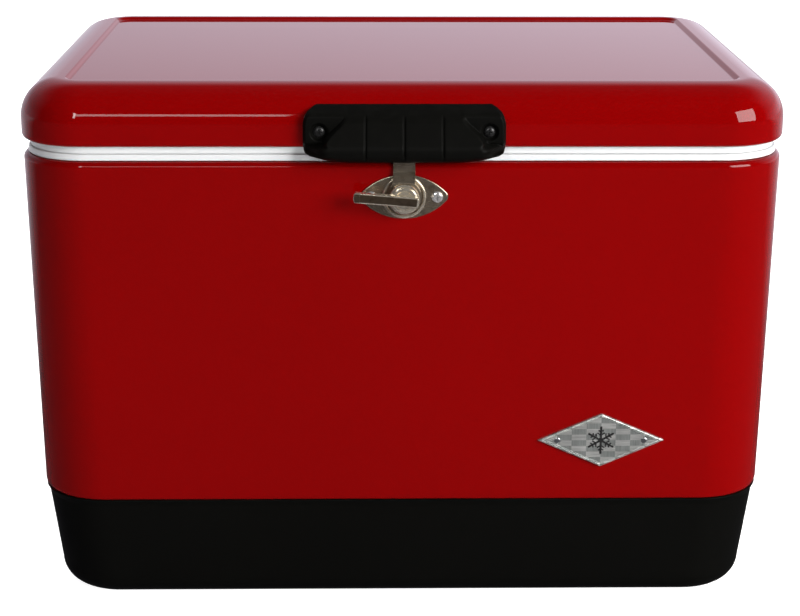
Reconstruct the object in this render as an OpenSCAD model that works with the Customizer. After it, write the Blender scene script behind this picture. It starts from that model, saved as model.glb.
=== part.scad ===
// Vintage steel-wrapped cooler chest with a hinged lid, a turn latch and two end bails.
// X runs along the width, Y from the front (negative) to the back, Z up from the floor.

/* [Chest] */
// Width of the steel belt round the chest
body_w = 610; // [580:5:660]
// Depth of the steel belt, front to back
body_d = 410; // [390:5:440]
// Radius of the belt's upright corners
corner_r = 56; // [50:1:60]
// Thickness of the belt and lid sheet
sheet_t = 1; // [0.8:0.1:1.2]
// Height at which the belt starts, on the base pan's shoulder
belt_bottom_z = 93; // [90:1:94]
// How much narrower each side of the belt is at its bottom
belt_draft = 3; // [2:0.5:4]

/* [Lid] */
// Radius of the lid's rolled upper edge
lid_edge_r = 31; // [28:0.5:33]
// Depth of the pressed panel in the lid's top
panel_depth = 2.5; // [1.5:0.5:3]
// How far the lid opens before its stop
lid_stop_angle = 107; // [100:1:110]

/* [Tub] */
// Half width of the tub's mouth
tub_half_x = 266; // [260:1:267]
// Half depth of the tub's mouth
tub_half_y = 166; // [160:1:167]
// Height of the tub's floor
tub_floor_z = 66; // [60:1:70]

/* [Latch] */
// Height of the latch's axis
latch_z = 351.3; // [350:0.1:353]
// Radius of the latch's turning disc
knob_r = 12; // [11:0.5:13]
// Radius of the latch's spindle
spindle_r = 3.5; // [3:0.1:3.6]

/* [End bails] */
// Height of the bails' pivots
bail_pivot_z = 318; // [310:1:322]
// Drop from the pivots to the grip
bail_drop = 50; // [45:1:55]
// Radius of the rubber grip
grip_r = 9; // [8:0.5:9.5]

/* [Fits] */
// Gap between neighbouring shells
gap = 0.3; // [0.2:0.1:0.4]
// Radial clearance of every turning pin
running = 0.07; // [0.04:0.01:0.09]

/* [Hidden] */

corner_steps = 10;
arc_steps = 6;
round_fn = 48;
half_x = body_w / 2;
half_y = body_d / 2;
belt_top_z = 378.5;
lid_bottom_z = 390;
lid_top_z = 437.2;
lid_grow = 0.25;
base_edge_r = 20.8;
base_corner_r = 53;
pan_wall = 3;
tub_wall = 2.5;
tub_corner_r = 42;
panel_half_x = 263;
panel_half_y = 165;
panel_corner_r = 9;
panel_step_w = 7;
rim_top_z = 383.7;
lid_rim_z = 384.3;
plug_z = 376;
hinge_x = 190;
hinge_y = 212;
hinge_z = 384;
hinge_w = 60;
pin_r = 2.5;
knuckle_r = 5;
knuckle_split = 12;
latch_face_y = -205;
latch_plate_t = 1.2;
latch_front_y = latch_face_y - latch_plate_t;
latch_screw_x = 26;
grip_half_w = 78.7;
grip_front_y = -227;
handle_screw_x = 66;
handle_screw_z = 404;
bail_x = 315.5;
bail_r = 4;
bail_arm_y = 51;
bail_end_y = 67;
bail_bend_r = 8;
ear_y = 57;
ear_t = 5;
drain_y = 100;
drain_r = 7;
drain_z = tub_floor_z + drain_r;
drain_out_r = 10;
drain_flange_r = 13.5;
drain_seat_x = 301;
drain_end_x = 319.5;
sump_z = drain_z - drain_flange_r - 0.5;
sump_x = 236;
sump_half_y = 16;
drain_wall_x = 257.4;
badge_x = 162;
badge_z = 146;
badge_y = -202.85;
badge_half_w = 53.8;
badge_half_h = 23;
badge_rivet_x = 35.5;
steel_screw_r = 2;

// Half the belt's width and depth shrink with the same draft towards its bottom.
function draft_at(z) = belt_draft * (belt_top_z - z) / (belt_top_z - belt_bottom_z);
function belt_ring(z, inset) = [
  z, half_x - draft_at(z) - inset, half_y - draft_at(z) - inset, max(corner_r - inset, 8)
];
function lid_ring(z, inset) = [
  z, half_x + lid_grow - inset, half_y + lid_grow - inset, max(corner_r - 3 - inset, panel_corner_r)
];
function pan_half(z) = 292.3 + (z - base_edge_r) * 0.104;
function pan_ring(z, inset) = [
  z, pan_half(z) - inset, pan_half(z) - inset - (half_x - half_y), max(base_corner_r - inset, 8)
];
function tub_draft(z) = (rim_top_z - z) * 0.0253;
function tub_ring(z, inset) = [
  z, tub_half_x - tub_draft(z) - inset, tub_half_y - tub_draft(z) - inset, max(tub_corner_r - inset, 8)
];
function plain_ring(z, half, r) = [z, half, half - (half_x - half_y), r];

// Corner points of one rounded-rectangle ring [z, half width, half depth, radius], counter-clockwise.
function ring_points(ring) = [
  for (quarter = [0 : 3])
    for (i = [0 : corner_steps])
      let(
        angle = 90 * quarter + 90 * i / corner_steps,
        side_x = quarter == 0 || quarter == 3 ? 1 : -1,
        side_y = quarter < 2 ? 1 : -1
      )
      [
        side_x * (ring[1] - ring[3]) + ring[3] * cos(angle),
        side_y * (ring[2] - ring[3]) + ring[3] * sin(angle),
        ring[0]
      ]
];

function ring_size() = 4 * (corner_steps + 1);
function wall_faces(count) = [
  for (layer = [0 : count - 1])
    for (i = [0 : ring_size() - 1])
      let(low = layer * ring_size(), high = (layer + 1) * ring_size(), next = (i + 1) % ring_size())
      [low + i, high + i, high + next, low + next]
];

// A closed shell through the rings in order, with a flat face over its first and its last ring.
module ring_stack(rings) {
  last = (len(rings) - 1) * ring_size();
  first_cap = [for (i = [0 : ring_size() - 1]) i];
  last_cap = [for (i = [ring_size() - 1 : -1 : 0]) last + i];
  polyhedron(
    points = [for (ring = rings) each ring_points(ring)],
    faces = concat(wall_faces(len(rings) - 1), [first_cap, last_cap]),
    convexity = 6
  );
}

// A closed band through the rings in order, whose last ring joins its first.
module ring_loop(rings) {
  total = len(rings) * ring_size();
  polyhedron(
    points = [for (ring = rings) each ring_points(ring)],
    faces = [for (face = wall_faces(len(rings))) [for (corner = face) corner % total]],
    convexity = 6
  );
}

// Round pieces whose axis runs along X or Y, from one coordinate to the next.
module rod_x(x0, x1, r) {
  translate([x0, 0, 0]) rotate([0, 90, 0]) cylinder(h = x1 - x0, r = r, $fn = round_fn);
}

module rod_y(y0, y1, r) {
  translate([0, y1, 0]) rotate([90, 0, 0]) cylinder(h = y1 - y0, r = r, $fn = round_fn);
}

module both_sides() {
  children();
  mirror([1, 0, 0]) children();
}

module box(low, high) {
  translate(low) cube(high - low);
}

// Places of the fasteners, shared by the holes and the pieces that fill them.
module at_latch_screws() {
  for (side = [-1, 1]) translate([side * latch_screw_x, 0, latch_z]) children();
}

module at_hinge_body_screws() {
  for (hinge = [-1, 1], side = [-1, 1], z = [350, 366])
    translate([hinge * hinge_x + side * 20, 0, z]) children();
}

module at_hinge_lid_screws() {
  for (hinge = [-1, 1], side = [-1, 1]) translate([hinge * hinge_x + side * 20, 0, 399]) children();
}

module at_bracket_screws() {
  for (side_y = [-1, 1], z = [304, 332]) translate([0, side_y * (ear_y + 18), z]) children();
}

module at_badge_rivets() {
  for (side = [-1, 1]) translate([badge_x + side * badge_rivet_x, 0, badge_z]) children();
}

module at_handle_screws() {
  for (side = [-1, 1]) translate([side * handle_screw_x, 0, handle_screw_z]) children();
}

module at_tongue_rivets() {
  for (x = [-5, 5]) translate([x, 0, 396]) children();
}

module outer_belt() {
  edge_r = 5;
  outside = concat(
    [belt_ring(belt_bottom_z, 5), belt_ring(belt_bottom_z + 1, 2.4), belt_ring(belt_bottom_z + 4, 0.6)],
    [belt_ring(belt_bottom_z + 9, 0)],
    [for (i = [0 : arc_steps])
      belt_ring(belt_top_z - edge_r * (1 - sin(90 * i / arc_steps)), edge_r * (1 - cos(90 * i / arc_steps)))]
  );
  inner_r = edge_r - sheet_t;
  inside = concat(
    [for (i = [arc_steps : -1 : 0])
      belt_ring(belt_top_z - edge_r + inner_r * sin(90 * i / arc_steps), edge_r - inner_r * cos(90 * i / arc_steps))],
    [belt_ring(belt_bottom_z + 9, sheet_t), belt_ring(belt_bottom_z + 4, 0.6 + sheet_t)],
    [belt_ring(belt_bottom_z + 1.6, 3.2), belt_ring(belt_bottom_z + 1, 5)]
  );
  color([0.6, 0, 0.01]) difference() {
    ring_loop(concat(outside, inside));
    translate([0, 0, latch_z]) rod_y(-half_y - 5, -half_y + 10, 6);
    at_latch_screws() rod_y(-half_y - 5, -half_y + 10, 2.4);
    at_badge_rivets() rod_y(-half_y - 5, -half_y + 10, 1.8);
    at_hinge_body_screws() rod_y(half_y - 10, half_y + 5, 2.4);
    both_sides() at_bracket_screws() rod_x(half_x - 10, half_x + 5, 2.4);
  }
}

module base_pan() {
  floor_t = 6;
  shoulder_z = 87;
  outside = concat(
    [for (i = [0 : arc_steps])
      [
        base_edge_r * (1 - cos(90 * i / arc_steps)),
        292.3 - base_edge_r * (1 - sin(90 * i / arc_steps)),
        292.3 - base_edge_r * (1 - sin(90 * i / arc_steps)) - (half_x - half_y),
        base_corner_r - base_edge_r * (1 - sin(90 * i / arc_steps))
      ]],
    [pan_ring(shoulder_z, 0), plain_ring(belt_bottom_z - 1.5, 303.1, 54), plain_ring(belt_bottom_z - gap, 303.3, 54)]
  );
  collar = [
    plain_ring(belt_bottom_z - gap, 296.4, 50.6), plain_ring(105, 296.2, 50.6), plain_ring(105, 294, 48.4),
    plain_ring(shoulder_z, 294.6, 49)
  ];
  inner_r = base_edge_r - floor_t;
  inside = concat(
    [pan_ring(60, pan_wall)],
    [for (i = [arc_steps : -2 : 0])
      [
        floor_t + inner_r * (1 - cos(90 * i / arc_steps)),
        289.3 - inner_r * (1 - sin(90 * i / arc_steps)),
        289.3 - inner_r * (1 - sin(90 * i / arc_steps)) - (half_x - half_y),
        50 - inner_r * (1 - sin(90 * i / arc_steps))
      ]]
  );
  color([0.06, 0.06, 0.05]) difference() {
    ring_stack(concat(outside, collar, inside));
    for (x = [-250, 20], y = [-150, 20]) box([x, y, -1], [x + 230, y + 130, 3]);
    translate([0, drain_y, drain_z]) rod_x(280, 310, drain_out_r + 0.2);
  }
  color([0.06, 0.06, 0.05]) translate([0, drain_y, drain_z]) difference() {
    rod_x(296.5, drain_seat_x, drain_flange_r + 2);
    rod_x(280, 310, drain_out_r + 0.2);
  }
}

// The sump is the shallow well in the tub's floor that the drain opens from.
module sump() {
  box([sump_x, drain_y - sump_half_y, sump_z], [drain_wall_x, drain_y + sump_half_y, drain_z + 12]);
}

module sump_shell() {
  near_y = drain_y - sump_half_y - tub_wall;
  far_y = drain_y + sump_half_y + tub_wall;
  box([sump_x - tub_wall, near_y, sump_z - tub_wall], [drain_wall_x + 3.2, far_y, tub_floor_z]);
  box([drain_wall_x - 2.9, near_y, sump_z - tub_wall], [drain_wall_x + 3.2, far_y, drain_z + 6]);
}

module liner_tub() {
  lip_z = belt_top_z + gap;
  outside = [
    tub_ring(tub_floor_z - tub_wall, 9), tub_ring(tub_floor_z - 0.6, 2.4), tub_ring(tub_floor_z + 4.5, -1.2),
    tub_ring(tub_floor_z + 12, -tub_wall), tub_ring(lip_z - 8, -tub_wall), tub_ring(lip_z - 2, -tub_wall - 0.6),
    tub_ring(lip_z, -tub_wall - 2.5)
  ];
  rim = [plain_ring(lip_z, 301, 52), plain_ring(rim_top_z, 299.6, 50.6)];
  inside = [
    tub_ring(rim_top_z, -2.5), tub_ring(rim_top_z - 1, -0.8), tub_ring(rim_top_z - 3, 0),
    tub_ring(tub_floor_z + 14, 0), tub_ring(tub_floor_z + 6, 1.2), tub_ring(tub_floor_z + 1.8, 4.4),
    tub_ring(tub_floor_z, 10)
  ];
  color([0.93, 0.94, 0.94]) difference() {
    union() {
      ring_stack(concat(outside, rim, inside));
      sump_shell();
    }
    sump();
    translate([0, drain_y, drain_z]) rod_x(240, 280, drain_out_r + 0.2);
  }
}

// The insulation is two pieces: a slab under the tub and a jacket round its walls.
module foam_floor() {
  top_z = tub_floor_z - tub_wall - gap;
  rings = [
    [6 + gap, 271, 171, 34], [10, 279.5, 179.5, 40], [20, 288, 188, 48.5], plain_ring(60, 292.6, 50),
    plain_ring(top_z, 292.6, 50)
  ];
  color([0.9, 0.85, 0.6]) difference() {
    ring_stack(rings);
    box(
      [sump_x - tub_wall - gap, drain_y - sump_half_y - tub_wall - gap, sump_z - tub_wall - gap],
      [310, drain_y + sump_half_y + tub_wall + gap, drain_z]
    );
  }
}

module foam_walls() {
  skin = sheet_t + gap;
  low_z = tub_floor_z - tub_wall;
  outside = [
    plain_ring(low_z, 292.8, 50), plain_ring(106, 293.3, 48), plain_ring(106, 300, 54),
    belt_ring(belt_top_z - 8, skin + 0.5), belt_ring(belt_top_z - 3, skin + 2.4), belt_ring(belt_top_z - 1.5, 6.2)
  ];
  inside = [
    tub_ring(belt_top_z - 1.5, -tub_wall - 2), tub_ring(belt_top_z - 8, -tub_wall - gap),
    tub_ring(tub_floor_z + 12, -tub_wall - gap), tub_ring(low_z, -tub_wall - gap)
  ];
  color([0.9, 0.85, 0.6]) difference() {
    ring_loop(concat(outside, inside));
    box([-38, -210, 330], [38, -193, 372.5]);
    for (hinge = [-1, 1]) box([hinge * hinge_x - 32, 192, 342], [hinge * hinge_x + 32, 210, 374]);
    both_sides() for (side_y = [-1, 1])
      box([292, side_y * (ear_y + 12) - 24, 295], [310, side_y * (ear_y + 12) + 24, 341]);
    at_badge_rivets() rod_y(-210, -194, 3.6);
    box([250, drain_y - sump_half_y - 3.5, low_z - 5], [310, drain_y + sump_half_y + 3.5, drain_z + 18]);
  }
}

module rhombus(half_w, half_h, tip_r) {
  hull() {
    for (side = [-1, 1]) translate([side * (half_w - tip_r * 2.2), 0]) circle(r = tip_r, $fn = 24);
    for (side = [-1, 1]) translate([0, side * (half_h - tip_r * 1.1)]) circle(r = tip_r, $fn = 24);
  }
}

module badge_plate() {
  frame_w = 4.2;
  color([0.68, 0.69, 0.68]) difference() {
    translate([badge_x, badge_y, badge_z]) rotate([90, 0, 0]) union() {
      linear_extrude(height = 1.4) rhombus(badge_half_w, badge_half_h, 2);
      linear_extrude(height = 2.4) difference() {
        rhombus(badge_half_w, badge_half_h, 2);
        rhombus(badge_half_w - 2.3 * frame_w, badge_half_h - frame_w, 1);
      }
    }
    at_badge_rivets() rod_y(badge_y - 5, badge_y + 5, 1.6);
  }
}

module badge_rivets() {
  color([0.7, 0.7, 0.68]) at_badge_rivets() {
    rod_y(badge_y - 1.5, badge_y + 7, 1.5);
    rod_y(badge_y - 2.1, badge_y - 1.4, 2.6);
    rod_y(badge_y + 3, badge_y + 4, 3);
  }
}

module lid_shell() {
  top_in = lid_edge_r + 0.2;
  arc_z = lid_top_z - lid_edge_r;
  panel_z = lid_top_z - panel_depth;
  step_x = panel_half_x + panel_step_w;
  step_y = panel_half_y + panel_step_w;
  inner_r = lid_edge_r - sheet_t;
  inside = concat(
    [
      [panel_z - sheet_t, panel_half_x, panel_half_y, panel_corner_r],
      [lid_top_z - sheet_t, min(step_x, half_x - top_in - 1), min(step_y, half_y - top_in - 1), panel_corner_r + 7]
    ],
    [for (i = [arc_steps : -1 : 0])
      lid_ring(arc_z + inner_r * sin(90 * i / arc_steps), lid_edge_r - inner_r * cos(90 * i / arc_steps))],
    [lid_ring(lid_bottom_z + 5, sheet_t), lid_ring(lid_bottom_z + 2, 2.4), lid_ring(lid_bottom_z + 1, 6)]
  );
  outside = concat(
    [lid_ring(lid_bottom_z, 6), lid_ring(lid_bottom_z + 0.6, 3), lid_ring(lid_bottom_z + 2.4, 0.8)],
    [lid_ring(lid_bottom_z + 5, 0)],
    [for (i = [0 : arc_steps])
      lid_ring(arc_z + lid_edge_r * sin(90 * i / arc_steps), lid_edge_r * (1 - cos(90 * i / arc_steps)))],
    [
      [lid_top_z, min(step_x, half_x - top_in - 1), min(step_y, half_y - top_in - 1), panel_corner_r + 7],
      [panel_z, panel_half_x, panel_half_y, panel_corner_r]
    ]
  );
  color([0.6, 0, 0.01]) difference() {
    ring_stack(concat(inside, outside));
    at_handle_screws() rod_y(-half_y - 5, -half_y + 10, 2.2);
    at_tongue_rivets() rod_y(-half_y - 5, -half_y + 10, 1.6);
    at_hinge_lid_screws() rod_y(half_y - 10, half_y + 5, 2.2);
  }
}

module lid_liner() {
  floor_z = plug_z + tub_wall;
  rim_in_z = lid_rim_z + tub_wall;
  underside = [
    [plug_z, 254, 154, 34], [plug_z + 1.5, 260, 160, 38], [plug_z + 5, 262, 162, 40],
    [lid_rim_z, 262.5, 162.5, 40], plain_ring(lid_rim_z, 298.8, 50), plain_ring(394, 298, 49)
  ];
  upper_side = [
    plain_ring(394, 296.2, 47.2), plain_ring(rim_in_z, 296.6, 47.6), [rim_in_z, 260, 160, 37.5],
    [plug_z + 5.5, 259.5, 159.5, 37.5], [floor_z + 1, 257.5, 157.5, 35.5], [floor_z, 252, 152, 32]
  ];
  color([0.93, 0.94, 0.94]) ring_stack(concat(underside, upper_side));
}

module lid_foam() {
  skin = sheet_t + gap;
  inner_r = lid_edge_r - skin;
  arc_z = lid_top_z - lid_edge_r;
  rings = concat(
    [
      [plug_z + tub_wall + gap, 251, 151, 31], [plug_z + tub_wall + 1.6, 256.5, 156.5, 34],
      [plug_z + 6, 259, 159, 36], [lid_rim_z + tub_wall + gap, 259.4, 159.4, 37],
      plain_ring(lid_rim_z + tub_wall + gap, 296, 47), plain_ring(394, 295.6, 46.6),
      lid_ring(394.6, skin + 8), lid_ring(396, skin)
    ],
    [for (i = [0 : arc_steps])
      lid_ring(arc_z + inner_r * sin(90 * i / arc_steps), lid_edge_r - inner_r * cos(90 * i / arc_steps))],
    [
      [lid_top_z - skin, panel_half_x + panel_step_w + 1.4, panel_half_y + panel_step_w + 1.4, panel_corner_r + 8],
      [lid_top_z - panel_depth - skin, panel_half_x + 0.8, panel_half_y + 0.8, panel_corner_r]
    ]
  );
  color([0.9, 0.85, 0.6]) difference() {
    ring_stack(rings);
    at_handle_screws() box([-11, -210, -9], [11, -193, 9]);
    box([-15, -210, 387.3], [15, -193, 404]);
    for (hinge = [-1, 1]) box([hinge * hinge_x - 32, 192, 390], [hinge * hinge_x + 32, 210, 408]);
  }
}

// Front outline of the pull, seen from the front.
module handle_outline() {
  top_z = 425;
  lip_z = 381;
  end_r = 17;
  low_r = 8;
  hull() {
    for (side = [-1, 1]) translate([side * (grip_half_w - end_r), top_z - end_r]) circle(r = end_r, $fn = 48);
    for (side = [-1, 1]) translate([side * (grip_half_w - low_r - 2), lip_z + low_r]) circle(r = low_r, $fn = 48);
  }
}

// Side profile of the pull: a sloping top band, a bulging grip and a rounded lip.
module handle_profile() {
  bulge_r = 10;
  hull() {
    translate([-174, 425]) square([2, 2]);
    translate([-218 + bulge_r, 417 - bulge_r]) circle(r = bulge_r, $fn = 48);
    translate([grip_front_y + bulge_r, 391]) circle(r = bulge_r, $fn = 48);
    translate([-206, 381]) square([2, 2]);
  }
}

module lid_handle() {
  edge_y = -(half_y + lid_grow) + lid_edge_r;
  edge_z = lid_top_z - lid_edge_r;
  color([0.06, 0.06, 0.05]) difference() {
    intersection() {
      translate([0, -170, 0]) rotate([90, 0, 0]) linear_extrude(height = 60) handle_outline();
      rotate([90, 0, 90]) translate([0, 0, -80]) linear_extrude(height = 160) handle_profile();
    }
    translate([0, edge_y, edge_z]) rod_x(-90, 90, lid_edge_r + gap);
    box([-90, -half_y - lid_grow - gap, 370], [90, -150, edge_z]);
    box([-90, edge_y, edge_z], [90, -150, 440]);
    both_sides() box([52, -240, 394], [90, -213, 440]);
    at_handle_screws() rod_y(-230, -190, 2.3);
    at_handle_screws() rod_y(-230, -209.5, 6);
    box([-56, -218.5, 370], [56, -209.5, 399]);
    box([-9.5, -210, 370], [9.5, -204, 404]);
  }
}

module lid_handle_screws() {
  color([0.75, 0.75, 0.74]) at_handle_screws() {
    rod_y(-209.5, -197, steel_screw_r);
    rod_y(-212, -209.5, 4.3);
  }
}

module lid_handle_backing_strip() {
  color([0.7, 0.7, 0.68]) for (side = [-1, 1]) difference() {
    translate([side * handle_screw_x, 0, handle_screw_z]) box([-9, -203.9, -7], [9, -202.4, 1]);
    at_handle_screws() rod_y(-210, -190, steel_screw_r + 0.05);
  }
}

// Eye-shaped outline with rounded tips, centred on its own origin.
module eye(half_w, half_h, tip_r) {
  bow_r = (half_w * half_w + half_h * half_h) / (2 * half_h);
  intersection() {
    translate([0, half_h - bow_r]) circle(r = bow_r, $fn = 160);
    translate([0, bow_r - half_h]) circle(r = bow_r, $fn = 160);
    square([2 * (half_w - tip_r), 3 * half_h], center = true);
  }
}

module latch_plate() {
  color([0.72, 0.69, 0.64]) difference() {
    translate([0, latch_face_y, latch_z]) rotate([90, 0, 0]) union() {
      linear_extrude(height = latch_plate_t) eye(36, 17.7, 2.6);
      rotate_extrude($fn = 96) translate([16, latch_plate_t]) intersection() {
        circle(r = 1.4, $fn = 32);
        translate([-2, -0.6]) square([4, 3]);
      }
    }
    translate([0, 0, latch_z]) rod_y(-215, -190, spindle_r + running);
    at_latch_screws() rod_y(-215, -190, 2.2);
  }
}

module latch_screws() {
  color([0.74, 0.7, 0.64]) at_latch_screws() difference() {
    union() {
      rod_y(latch_front_y, -197, steel_screw_r);
      rod_y(latch_front_y - 2.2, latch_front_y, 4.6);
    }
    box([-0.5, -210, -2.6], [0.5, latch_front_y - 1, 2.6]);
    box([-2.6, -210, -0.5], [2.6, latch_front_y - 1, 0.5]);
  }
}

module latch_backing_plate() {
  color([0.7, 0.7, 0.68]) difference() {
    translate([0, 0, latch_z]) box([-34, -203.3, -14], [34, -201.3, 14]);
    translate([0, 0, latch_z]) rod_y(-210, -190, spindle_r + 0.5);
    at_latch_screws() rod_y(-210, -190, steel_screw_r + 0.05);
  }
}

module latch_lever() {
  tilt = -5;
  color([0.72, 0.69, 0.64]) difference() {
    translate([0, 0, latch_z]) union() {
      rod_y(-216.5, -214, knob_r);
      rod_y(-219.5, -216.5, knob_r - 1.6);
      rotate([0, -tilt, 0]) difference() {
        union() {
          hull() {
            translate([7.5, 0, 0]) rod_y(-224, -218.5, 4.1);
            translate([-36, 0, 0]) rod_y(-224, -219.5, 4.1);
          }
          box([-38, -227, -3.4], [-30, -222, 3.4]);
          box([-12, -226, -2.2], [6, -222, 2.2]);
        }
        for (i = [0 : 2]) translate([-36 + 2.6 * i, -227, 0]) cylinder(h = 12, r = 0.7, center = true, $fn = 24);
      }
    }
    translate([0, 0, latch_z]) rod_y(-217, -205, spindle_r + 0.04);
  }
}

// The claw is a quarter-turn hook: clear of the keeper at rest, over it when the lever hangs down.
module latch_cam() {
  claw_half = 50;
  color([0.7, 0.68, 0.64]) translate([0, 0, latch_z]) union() {
    rod_y(-216.9, -197, spindle_r);
    rod_y(-207.5, latch_front_y - 0.2, 11.8);
    translate([0, -207.2, 0]) rotate([90, 0, 0]) rotate([0, 0, -claw_half])
      rotate_extrude(angle = 2 * claw_half, $fn = 96) translate([9, 0]) square([2.2, 2.9]);
  }
}

module latch_washer() {
  color([0.75, 0.75, 0.74]) translate([0, 0, latch_z]) difference() {
    rod_y(-201.1, -200.1, 8);
    rod_y(-203, -198, spindle_r + running);
  }
}

module latch_clip() {
  color([0.3, 0.3, 0.32]) translate([0, 0, latch_z]) difference() {
    rod_y(-200, -199, 6.4);
    rod_y(-202, -197, spindle_r + 0.03);
    box([-2, -202, -8], [2, -197, 0]);
  }
}

// Outline of the strap in the Y-Z plane: down the lid, out over the ring and down behind the disc.
module latch_tongue() {
  strap_w = 17.3;
  strap_t = 1.5;
  color([0.72, 0.69, 0.64]) difference() {
    rotate([90, 0, 90]) translate([0, 0, -strap_w / 2]) linear_extrude(height = strap_w)
      polygon([
        [-206, 402], [-206 - strap_t, 402], [-206 - strap_t, 371.3], [-212.5, 363.4], [-212.5, 356.5],
        [-211, 356.5], [-211, 363], [-206, 371]
      ]);
    at_tongue_rivets() rod_y(-215, -195, 1.55);
  }
}

// The keeper is a small tab spot-welded to the back of the strap's end, for the claw to catch.
module latch_keeper() {
  color([0.72, 0.69, 0.64]) box([-3, -211, 356.5], [3, -208.5, 358]);
}

module tongue_rivets() {
  color([0.75, 0.75, 0.74]) at_tongue_rivets() {
    rod_y(-207.5, -201.9, 1.45);
    rod_y(-208.6, -207.5, 2.9);
    rod_y(-202.9, -201.8, 2.9);
  }
}

// The strap hinges: the body leaf holds the two outer knuckles, the lid leaf the middle one.
module knuckle(x0, x1, leaf_y, web_z) {
  difference() {
    union() {
      translate([0, hinge_y, hinge_z]) rod_x(x0, x1, knuckle_r);
      box([x0, leaf_y, min(web_z, hinge_z)], [x1, hinge_y, max(web_z, hinge_z)]);
    }
    translate([0, hinge_y, hinge_z]) rod_x(x0 - 1, x1 + 1, pin_r + running);
  }
}

module hinge_body_leaf(side) {
  leaf_y = half_y + 0.15;
  color([0.75, 0.76, 0.77]) translate([side * hinge_x, 0, 0]) difference() {
    union() {
      box([-hinge_w / 2, leaf_y, 343], [hinge_w / 2, leaf_y + 2, 376.2]);
      box([-knuckle_split + 1, leaf_y, 376], [knuckle_split - 1, leaf_y + 2, 378.9]);
      knuckle(-hinge_w / 2, -knuckle_split, leaf_y, 376);
      knuckle(knuckle_split, hinge_w / 2, leaf_y, 376);
    }
    translate([-side * hinge_x, 0, 0]) at_hinge_body_screws() rod_y(200, 215, 2.2);
    box([-40, half_y - 5, 378.2], [40, half_y + 0.6, 395]);
  }
}

module hinge_lid_leaf(side) {
  leaf_y = half_y + lid_grow + 0.15;
  middle = knuckle_split - 0.4;
  color([0.75, 0.76, 0.77]) translate([side * hinge_x, 0, 0]) difference() {
    union() {
      box([-hinge_w / 2, leaf_y, 390.6], [hinge_w / 2, leaf_y + 2, 405.5]);
      knuckle(-middle, middle, leaf_y, 391);
      translate([-middle, hinge_y, hinge_z]) rotate([lid_stop_angle - 125.2, 0, 0])
        box([0, 4, 0], [2 * middle, 8.4, 2.6]);
    }
    translate([-side * hinge_x, 0, 0]) at_hinge_lid_screws() rod_y(200, 215, 2.1);
    translate([0, hinge_y, hinge_z]) rod_x(-20, 20, pin_r + running);
    box([-40, half_y - 5, 380], [40, half_y + lid_grow + 0.6, 390.5]);
  }
}

module hinge_body_leaf_left() {
  hinge_body_leaf(-1);
}

module hinge_body_leaf_right() {
  hinge_body_leaf(1);
}

module hinge_lid_leaf_left() {
  hinge_lid_leaf(-1);
}

module hinge_lid_leaf_right() {
  hinge_lid_leaf(1);
}

module hinge_pin(side) {
  color([0.8, 0.8, 0.8]) translate([side * hinge_x, hinge_y, hinge_z]) {
    rod_x(-hinge_w / 2 - 1.5, hinge_w / 2 + 1.5, pin_r);
    rod_x(-hinge_w / 2 - 2.7, -hinge_w / 2 - 0.2, 4);
    rod_x(hinge_w / 2 + 0.2, hinge_w / 2 + 2.7, 4);
  }
}

module hinge_pin_left() {
  hinge_pin(-1);
}

module hinge_pin_right() {
  hinge_pin(1);
}

module hinge_body_screws() {
  head_y = half_y + 2.15;
  color([0.8, 0.8, 0.8]) at_hinge_body_screws() {
    rod_y(half_y - 8, head_y, steel_screw_r);
    rod_y(head_y, head_y + 2, 4.2);
  }
}

module hinge_lid_screws() {
  head_y = half_y + lid_grow + 2.15;
  color([0.8, 0.8, 0.8]) at_hinge_lid_screws() {
    rod_y(half_y - 8, head_y, steel_screw_r);
    rod_y(head_y, head_y + 1.6, 3.8);
  }
}

module hinge_body_backing_plates() {
  color([0.7, 0.7, 0.68]) difference() {
    for (hinge = [-1, 1]) box([hinge * hinge_x - 28, 200.8, 344], [hinge * hinge_x + 28, 202.8, 372]);
    at_hinge_body_screws() rod_y(190, 215, steel_screw_r + 0.05);
  }
}

module hinge_lid_backing_plates() {
  color([0.7, 0.7, 0.68]) difference() {
    for (hinge = [-1, 1]) box([hinge * hinge_x - 28, 202, 396.8], [hinge * hinge_x + 28, 203.8, 405]);
    at_hinge_lid_screws() rod_y(190, 215, steel_screw_r + 0.05);
  }
}

// One bail bracket, at the right end and towards the back; mirrors give the other three.
module handle_bracket() {
  plate_x = half_x + 0.1;
  color([0.72, 0.73, 0.74]) difference() {
    union() {
      box([plate_x, ear_y, 296], [plate_x + 2, ear_y + 26, 340]);
      hull() {
        box([plate_x, ear_y, 302], [plate_x + 2, ear_y + ear_t, 334]);
        translate([bail_x, 0, bail_pivot_z]) rod_y(ear_y, ear_y + ear_t, 6.1);
      }
    }
    translate([bail_x, 0, bail_pivot_z]) rod_y(ear_y - 1, ear_y + ear_t + 1, bail_r + running);
    at_bracket_screws() rod_x(300, 312, 2.2);
  }
}

module handle_bracket_right_rear() {
  handle_bracket();
}

module handle_bracket_right_front() {
  mirror([0, 1, 0]) handle_bracket();
}

module handle_bracket_left_rear() {
  mirror([1, 0, 0]) handle_bracket();
}

module handle_bracket_left_front() {
  mirror([1, 0, 0]) mirror([0, 1, 0]) handle_bracket();
}

module handle_bracket_screws() {
  head_x = half_x + 2.1;
  color([0.8, 0.8, 0.8]) both_sides() at_bracket_screws() {
    rod_x(half_x - 9, head_x, steel_screw_r);
    rod_x(head_x, head_x + 2.2, 4.2);
  }
}

module handle_backing_plates() {
  color([0.7, 0.7, 0.68]) both_sides() for (side_y = [-1, 1]) difference() {
    box([300.4, side_y * (ear_y + 13) - 20, 298], [302.4, side_y * (ear_y + 13) + 20, 338]);
    at_bracket_screws() rod_x(295, 310, steel_screw_r + 0.05);
  }
}

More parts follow.
